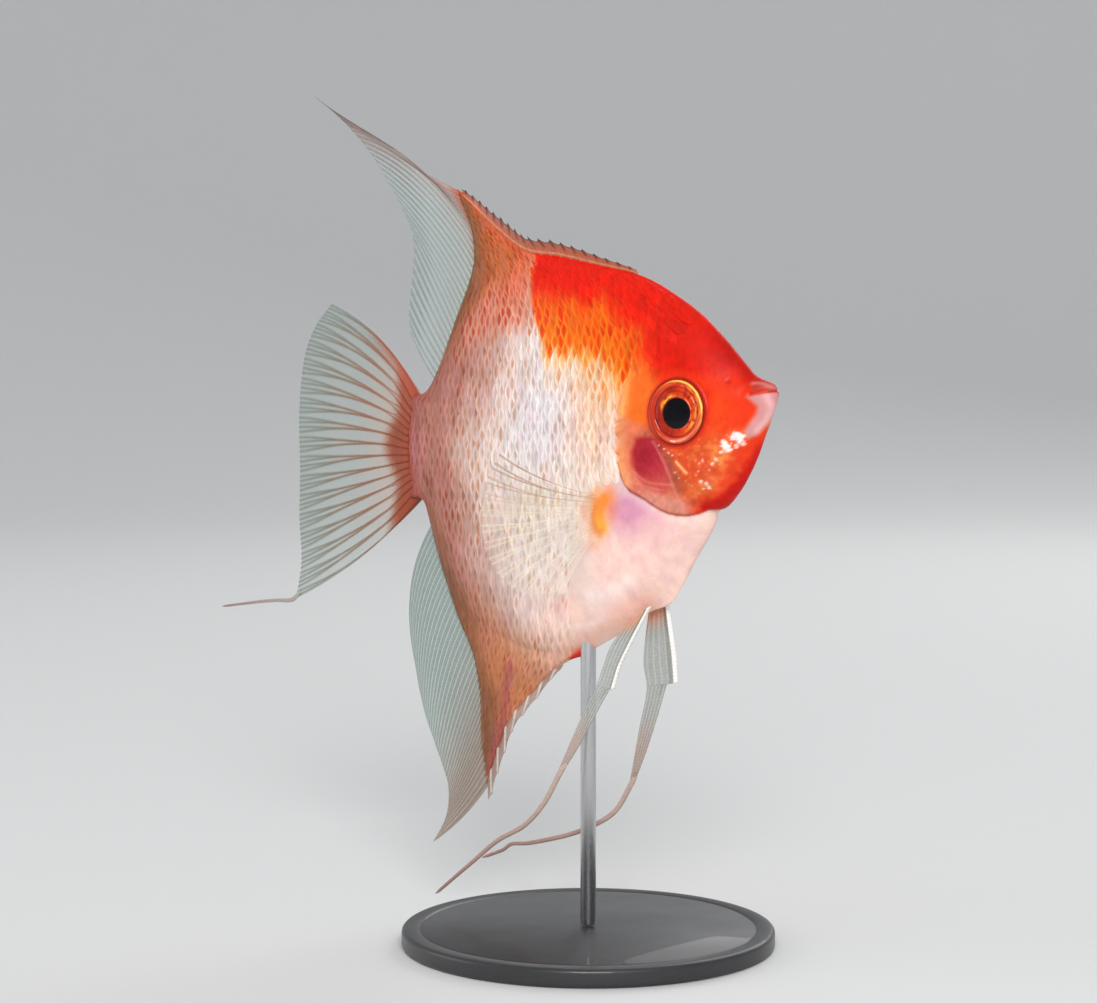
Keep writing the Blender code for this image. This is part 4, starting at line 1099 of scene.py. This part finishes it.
def pectoral_fins(material):
    root = knots(362, -222, 367, -254, 374, -291)
    tip = knots(601, -134, 640, -190, 662, -265, 660, -338, 625, -400, 549, -436, 449, -428)
    for name, side in SIDES.items():
        def off_flank(u, w, t, s, side=side):
            return side * (half_thickness(u, w) - 0.001 + 0.0046 * s**0.7)

        obj = fan(f"pectoral_fin_{name}_rays", root, tip, 14, (-0.06, 0.06), pectoral_look, ((0.4, 0.18),),
                  0.07, 0.02, 14, off_flank, 0.0002, 0.00006)
        finish_piece(obj, material, "fin", f"pectoral_fin_{name}")


PELVIC_FINS = {  # front edge along the spine, front edge below its tip, rear edge, thread
    "right": (knots(290, -450, 315, -497, 337, -540, 356, -580, 369, -628),
              knots(383, -634, 409, -683, 445, -752, 478, -806),
              knots(350, -490, 384, -538, 398, -575, 414, -625, 448, -699, 490, -806),
              knots(470, -790, 488, -814, 530, -884, 583, -938, 656, -980, 730, -1038, 839, -1123)),
    "left": (knots(286, -445, 280, -505, 275, -560, 275, -618),
             knots(303, -624, 336, -705, 370, -780, 400, -838),
             knots(335, -470, 349, -532, 357, -585, 354, -641, 380, -725, 413, -840),
             knots(396, -820, 411, -850, 448, -908, 496, -943, 579, -979, 696, -1012, 754, -1022, 785, -1040,
                   852, -1066)),
}
PELVIC_ROOT_OFFSET = 0.0022
PELVIC_SPREAD = 0.0058
PELVIC_RAYS = 5


def pelvic_fins(material):
    rows, spine_rows, columns = 120, 52, 37
    share, down = steps(columns)[:, None], steps(rows)[None]
    on_spine = ramp(0.13 - share, 0.06) * (down <= (spine_rows - 1) / (rows - 1))
    rays = ridges(share * PELVIC_RAYS - 0.4, down, ((0.45, 0.2),), 0.16)
    half = 0.00016 + 0.00016 * rays * (1 - 0.5 * down) + 0.00022 * on_spine
    half = np.where((share == 0) | (share == 1), 0.00008, half)
    tint = mix(0xA6AAA4, 0xD0D0CA, rays * 0.75)
    for colour, amount in (
        (0xC49E8E, ramp(down - 0.55, 0.3) * 0.7),
        (0xECA688, ramp(0.16 - down, 0.16)),
        (0xFFFCF6, on_spine),
        (0x7A7462, bell(share - 0.2, 0.05) * 0.7 * (down < 0.5)),
    ):
        tint = mix(tint, colour, amount)
    veil = 0.46 + 0.3 * rays + 0.5 * on_spine + 0.4 * ramp(0.2 - down, 0.2)
    for name, side in SIDES.items():
        spine, below, rear, thread = PELVIC_FINS[name]
        front = np.vstack([curve(spine, spine_rows), curve(below, rows - spine_rows)])
        chart = front[None] * (1 - share[..., None]) + curve(rear, rows)[None] * share[..., None]
        v = side * (PELVIC_ROOT_OFFSET + (PELVIC_SPREAD - PELVIC_ROOT_OFFSET) * down)
        obj = plate(f"pelvic_fin_{name}_blade", chart, v, half, tint, veil, (share * PELVIC_RAYS, down))
        finish_piece(obj, material, "fin", f"pelvic_fin_{name}")
        obj = strand(f"pelvic_thread_{name}_strand", thread, side * PELVIC_SPREAD,
                     (0.001, 0.0008, 0.0007, 0.0005), (0.0007, 0.0006, 0.0005), 0xCEB6A8, 0xAC847A, 110)
        finish_piece(obj, material, "fin", f"pelvic_thread_{name}")


def strand(name, path, v, widths, thicknesses, root_colour, tip_colour, stations, sides=12):
    """A tapering thread swept along a path of chart points, v off the middle, with a fine groove."""
    centre = place(*curve(path, stations).T, v)
    share = steps(stations)
    taper = np.sqrt(np.clip(np.minimum(share, 1 - share) * stations / 4, 0.02, 1))
    wide, thick = (
        (np.interp(share, steps(len(sizes)), sizes) / 2 * taper)[:, None, None]
        for sizes in (widths, thicknesses))
    along = direction(np.gradient(centre, axis=0))
    across = direction(np.cross(along, (0, 1, 0)))
    flat = np.cross(across, along)
    turn = circle(sides)[None, :, None]
    groove = 1 - 0.22 * np.abs(np.sin(turn)) ** 6
    points = (centre[:, None] + across[:, None] * wide * np.cos(turn)
              + flat[:, None] * thick * np.sin(turn) * groove)
    s = np.repeat(share, sides)
    uv = np.stack([np.tile(steps(sides), stations), s * 6], axis=1)
    return new_mesh(name, points, tube(stations, sides), linear(mix(root_colour, tip_colour, s)),
                    np.full(len(s), 0.96), uv)


def tail_filament(material):
    path = knots(1420, -500, 1452, -523, 1520, -530, 1602, -541, 1739, -562)
    obj = strand("caudal_filament_strand", path, 0.0, (0.0009, 0.0006, 0.0005, 0.0004), (0.0005, 0.0004),
                 0xBEB4AC, 0xA88C8A, 60)
    finish_piece(obj, material, "fin", "caudal_filament")


def spine_fringe(name, edge, stretch, count, heights, lean, look):
    """A low saw-edged fringe of short spines joined by skin, each leaning towards the tail."""
    fine, per_spine, rows = 2000, 14, 22
    columns = count * per_spine + 1
    line = curve(edge, fine)[int(stretch[0] * fine):int(stretch[1] * fine)]
    line = line[np.linspace(0, len(line) - 1, columns).astype(int)]
    along = direction(np.gradient(line, axis=0))
    outward = np.stack([-along[:, 1], along[:, 0]], axis=1)
    outward *= np.sign((outward * (line - HUB)).sum(1).mean())
    t, s = steps(columns)[:, None], np.linspace(-0.35, 1, rows)[None]
    phase = t * count
    offset = np.mod(phase, 1.0) - 0.5
    height = np.interp(t, steps(len(heights)), heights) * (0.74 + 0.26 * np.exp(-np.abs(offset) / 0.16))
    chart = line[:, None] + (outward + along * lean)[:, None] * (height * s)[..., None]
    ridge = bell(offset, 0.14)
    half = 0.0001 + 0.00016 * ridge * unit(1.2 - s) + 0.0003 * unit(-s)
    return plate(name, chart, 0.0, half * np.where(s == 1, 0.4, 1), *look(t, s, ridge + 0 * s), (phase, s))


def fringes(material):
    def dorsal(t, s, ridge):
        tint = mix(0xCE6E50, 0xBA8478, smooth(s) * ramp(t - 0.3, 0.5))
        tint = mix(tint, 0xF2A680, bell(s - 0.02, 0.09) * 0.9)
        tint = mix(tint, 0x682C1E, ridge * ramp(s - 0.25, 0.4) * 0.9)
        tint = mix(tint, 0x5A3228, ramp(s - 0.86, 0.1) * 0.7)
        return tint, 1 - 0.25 * smooth(s) * (1 - ridge)

    def anal(t, s, ridge):
        return mix(0xC4A092, 0xF0ECE4, ridge), 0.85 - 0.3 * smooth(s) + 0.4 * ridge

    for obj in (
        spine_fringe("dorsal_spines", UPPER_EDGE, (0.44, 0.975), 19, (0.006, 0.022, 0.03, 0.022, 0.01), 1.25,
                     dorsal),
        spine_fringe("anal_spines", LOWER_EDGE[::-1], (0.6, 0.985), 7, (0.006, 0.015, 0.018, 0.02), 2.2,
                     anal),
    ):
        finish_piece(obj, material, "fin")


# ---- stand and studio


def turned(name, profile, sides, top=True):
    """A solid of revolution about the vertical through the origin, from (radius, height) points."""
    radius, height = np.transpose(profile)[..., None]
    turn = circle(sides)
    points = np.stack([radius * np.cos(turn), radius * np.sin(turn), height + 0 * turn], axis=-1)
    faces = tube(len(profile), sides)
    return new_mesh(name, points, faces if top else faces[:-1])


def arc(centre, radius, start, stop, count=8):
    angles = np.radians(np.linspace(start, stop, count))
    return [(centre[0] + radius * math.cos(a), centre[1] + radius * math.sin(a)) for a in angles]


def stand_piece(name, node, profile, sides, shader, dark, pale, grain, broad, rough, depth):
    """A turned piece whose grey varies with the grain between dark and pale, and its gloss with broad."""
    colour = shader.node("Mix", "Result", data_type="RGBA", A=(*dark, 1), B=(*pale, 1), Factor=grain)
    shader.set(Base_Color=colour, Roughness=shader.ranged(broad, *rough))
    shader.bump(grain, depth)
    obj = turned(name, profile, sides)
    obj.data.set_sharp_from_angle(angle=math.radians(35))
    finish_piece(obj, shader.material, node, node)


def stand():
    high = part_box("stand_base")[1]
    radius, height = high.x, high.z
    edge, groove, groove_half, groove_depth = 0.0007, radius - 0.003, 0.0004, 0.00025
    rod_hole = 0.0032
    profile = [(radius - edge, 0.0), *arc((radius - edge, edge), edge, -90, 0)]
    profile += arc((radius - edge, height - edge), edge, 0, 90)
    profile += [(groove + groove_half, height), (groove, height - groove_depth),
                (groove - groove_half, height), (rod_hole, height)]
    shader = Shader("satin black paint", Coat_Weight=0.2)
    stand_piece("stand_base_disc", "stand_base", profile, 160, shader, (0.014, 0.014, 0.016),
                (0.03, 0.03, 0.033), shader.noise(2600, 5.0, 0.6), shader.noise(60), (0.36, 0.5), 0.00003)

    low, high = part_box("stand_rod")
    radius, foot, top = high.x, low.z, high.z
    profile = [(radius * 0.9, foot), (radius, foot + 0.0002), (radius, top - 0.0003), (radius * 0.8, top)]
    shader = Shader("brushed steel", Metallic=1.0)
    lines = shader.noise(900, stretch=(40, 40, 1))
    stand_piece("stand_rod_steel", "stand_rod", profile, 48, shader, (0.46, 0.46, 0.47), (0.66, 0.66, 0.67),
                lines, lines, (0.24, 0.38), 0.00001)


def studio():
    """A pale bowl-shaped studio floor, soft lights and a pale sky above."""
    flat, bend, rim = 0.9, 0.9, 1.5
    profile = [(0.0005, 0.0), (flat, 0.0)]
    profile += arc((flat, bend), bend, -84, -10, 14)
    profile.append((profile[-1][0] + 0.1, rim))
    floor = turned("studio_floor", profile, 96, top=False)
    shader = Shader("studio floor", Base_Color=(0.74, 0.74, 0.73, 1), Roughness=0.8)
    floor.data.materials.append(shader.material)

    world = bpy.data.worlds.new("studio")
    world.use_nodes = True
    sky = world.node_tree.nodes["Background"].inputs
    sky["Color"].default_value = (0.92, 0.95, 1.0, 1)
    sky["Strength"].default_value = 0.55
    bpy.context.scene.world = world
    middle = Vector((0, 0, 0.075))
    for name, at, size, power in (
        ("key", (0.55, -0.7, 0.55), 0.4, 7.0),
        ("fill", (-0.75, -0.45, 0.3), 0.6, 1.8),
        ("back", (-0.1, 0.8, 0.6), 0.6, 2.6),
    ):
        light = bpy.data.lights.new(name, "AREA")
        light.size = size
        light.energy = power
        add_turned_to(light, Vector(at), Vector(at) - middle)
    bpy.context.scene.view_settings.view_transform = "Standard"


def add_turned_to(data, location, back):
    """A light or camera at the location that looks away from the direction back."""
    obj = bpy.data.objects.new(data.name, data)
    obj.location = location
    obj.rotation_euler = back.to_track_quat("Z", "Y").to_euler()
    bpy.context.scene.collection.objects.link(obj)
    return obj


AIM_FROM_SNOUT = (-0.04313, 0.0, -0.01839)


def camera():
    """The photograph's viewing angle and framing."""
    azimuth, elevation, distance = math.radians(36), math.radians(4), 0.45
    back = Vector((math.sin(azimuth) * math.cos(elevation), -math.cos(azimuth) * math.cos(elevation),
                   math.sin(elevation)))
    data = bpy.data.cameras.new("camera")
    data.lens = 91.8
    data.sensor_width = 36
    data.clip_start = 0.01
    aim = Vector(SNOUT) + Vector(AIM_FROM_SNOUT)
    bpy.context.scene.camera = add_turned_to(data, aim + back * distance, back)


def main():
    skin()
    scale_coats()
    eyes()
    fin = fin_shader()
    for fins in (median_fins, pectoral_fins, pelvic_fins, tail_filament, fringes):
        fins(fin)
    stand()
    studio()
    camera()


main()
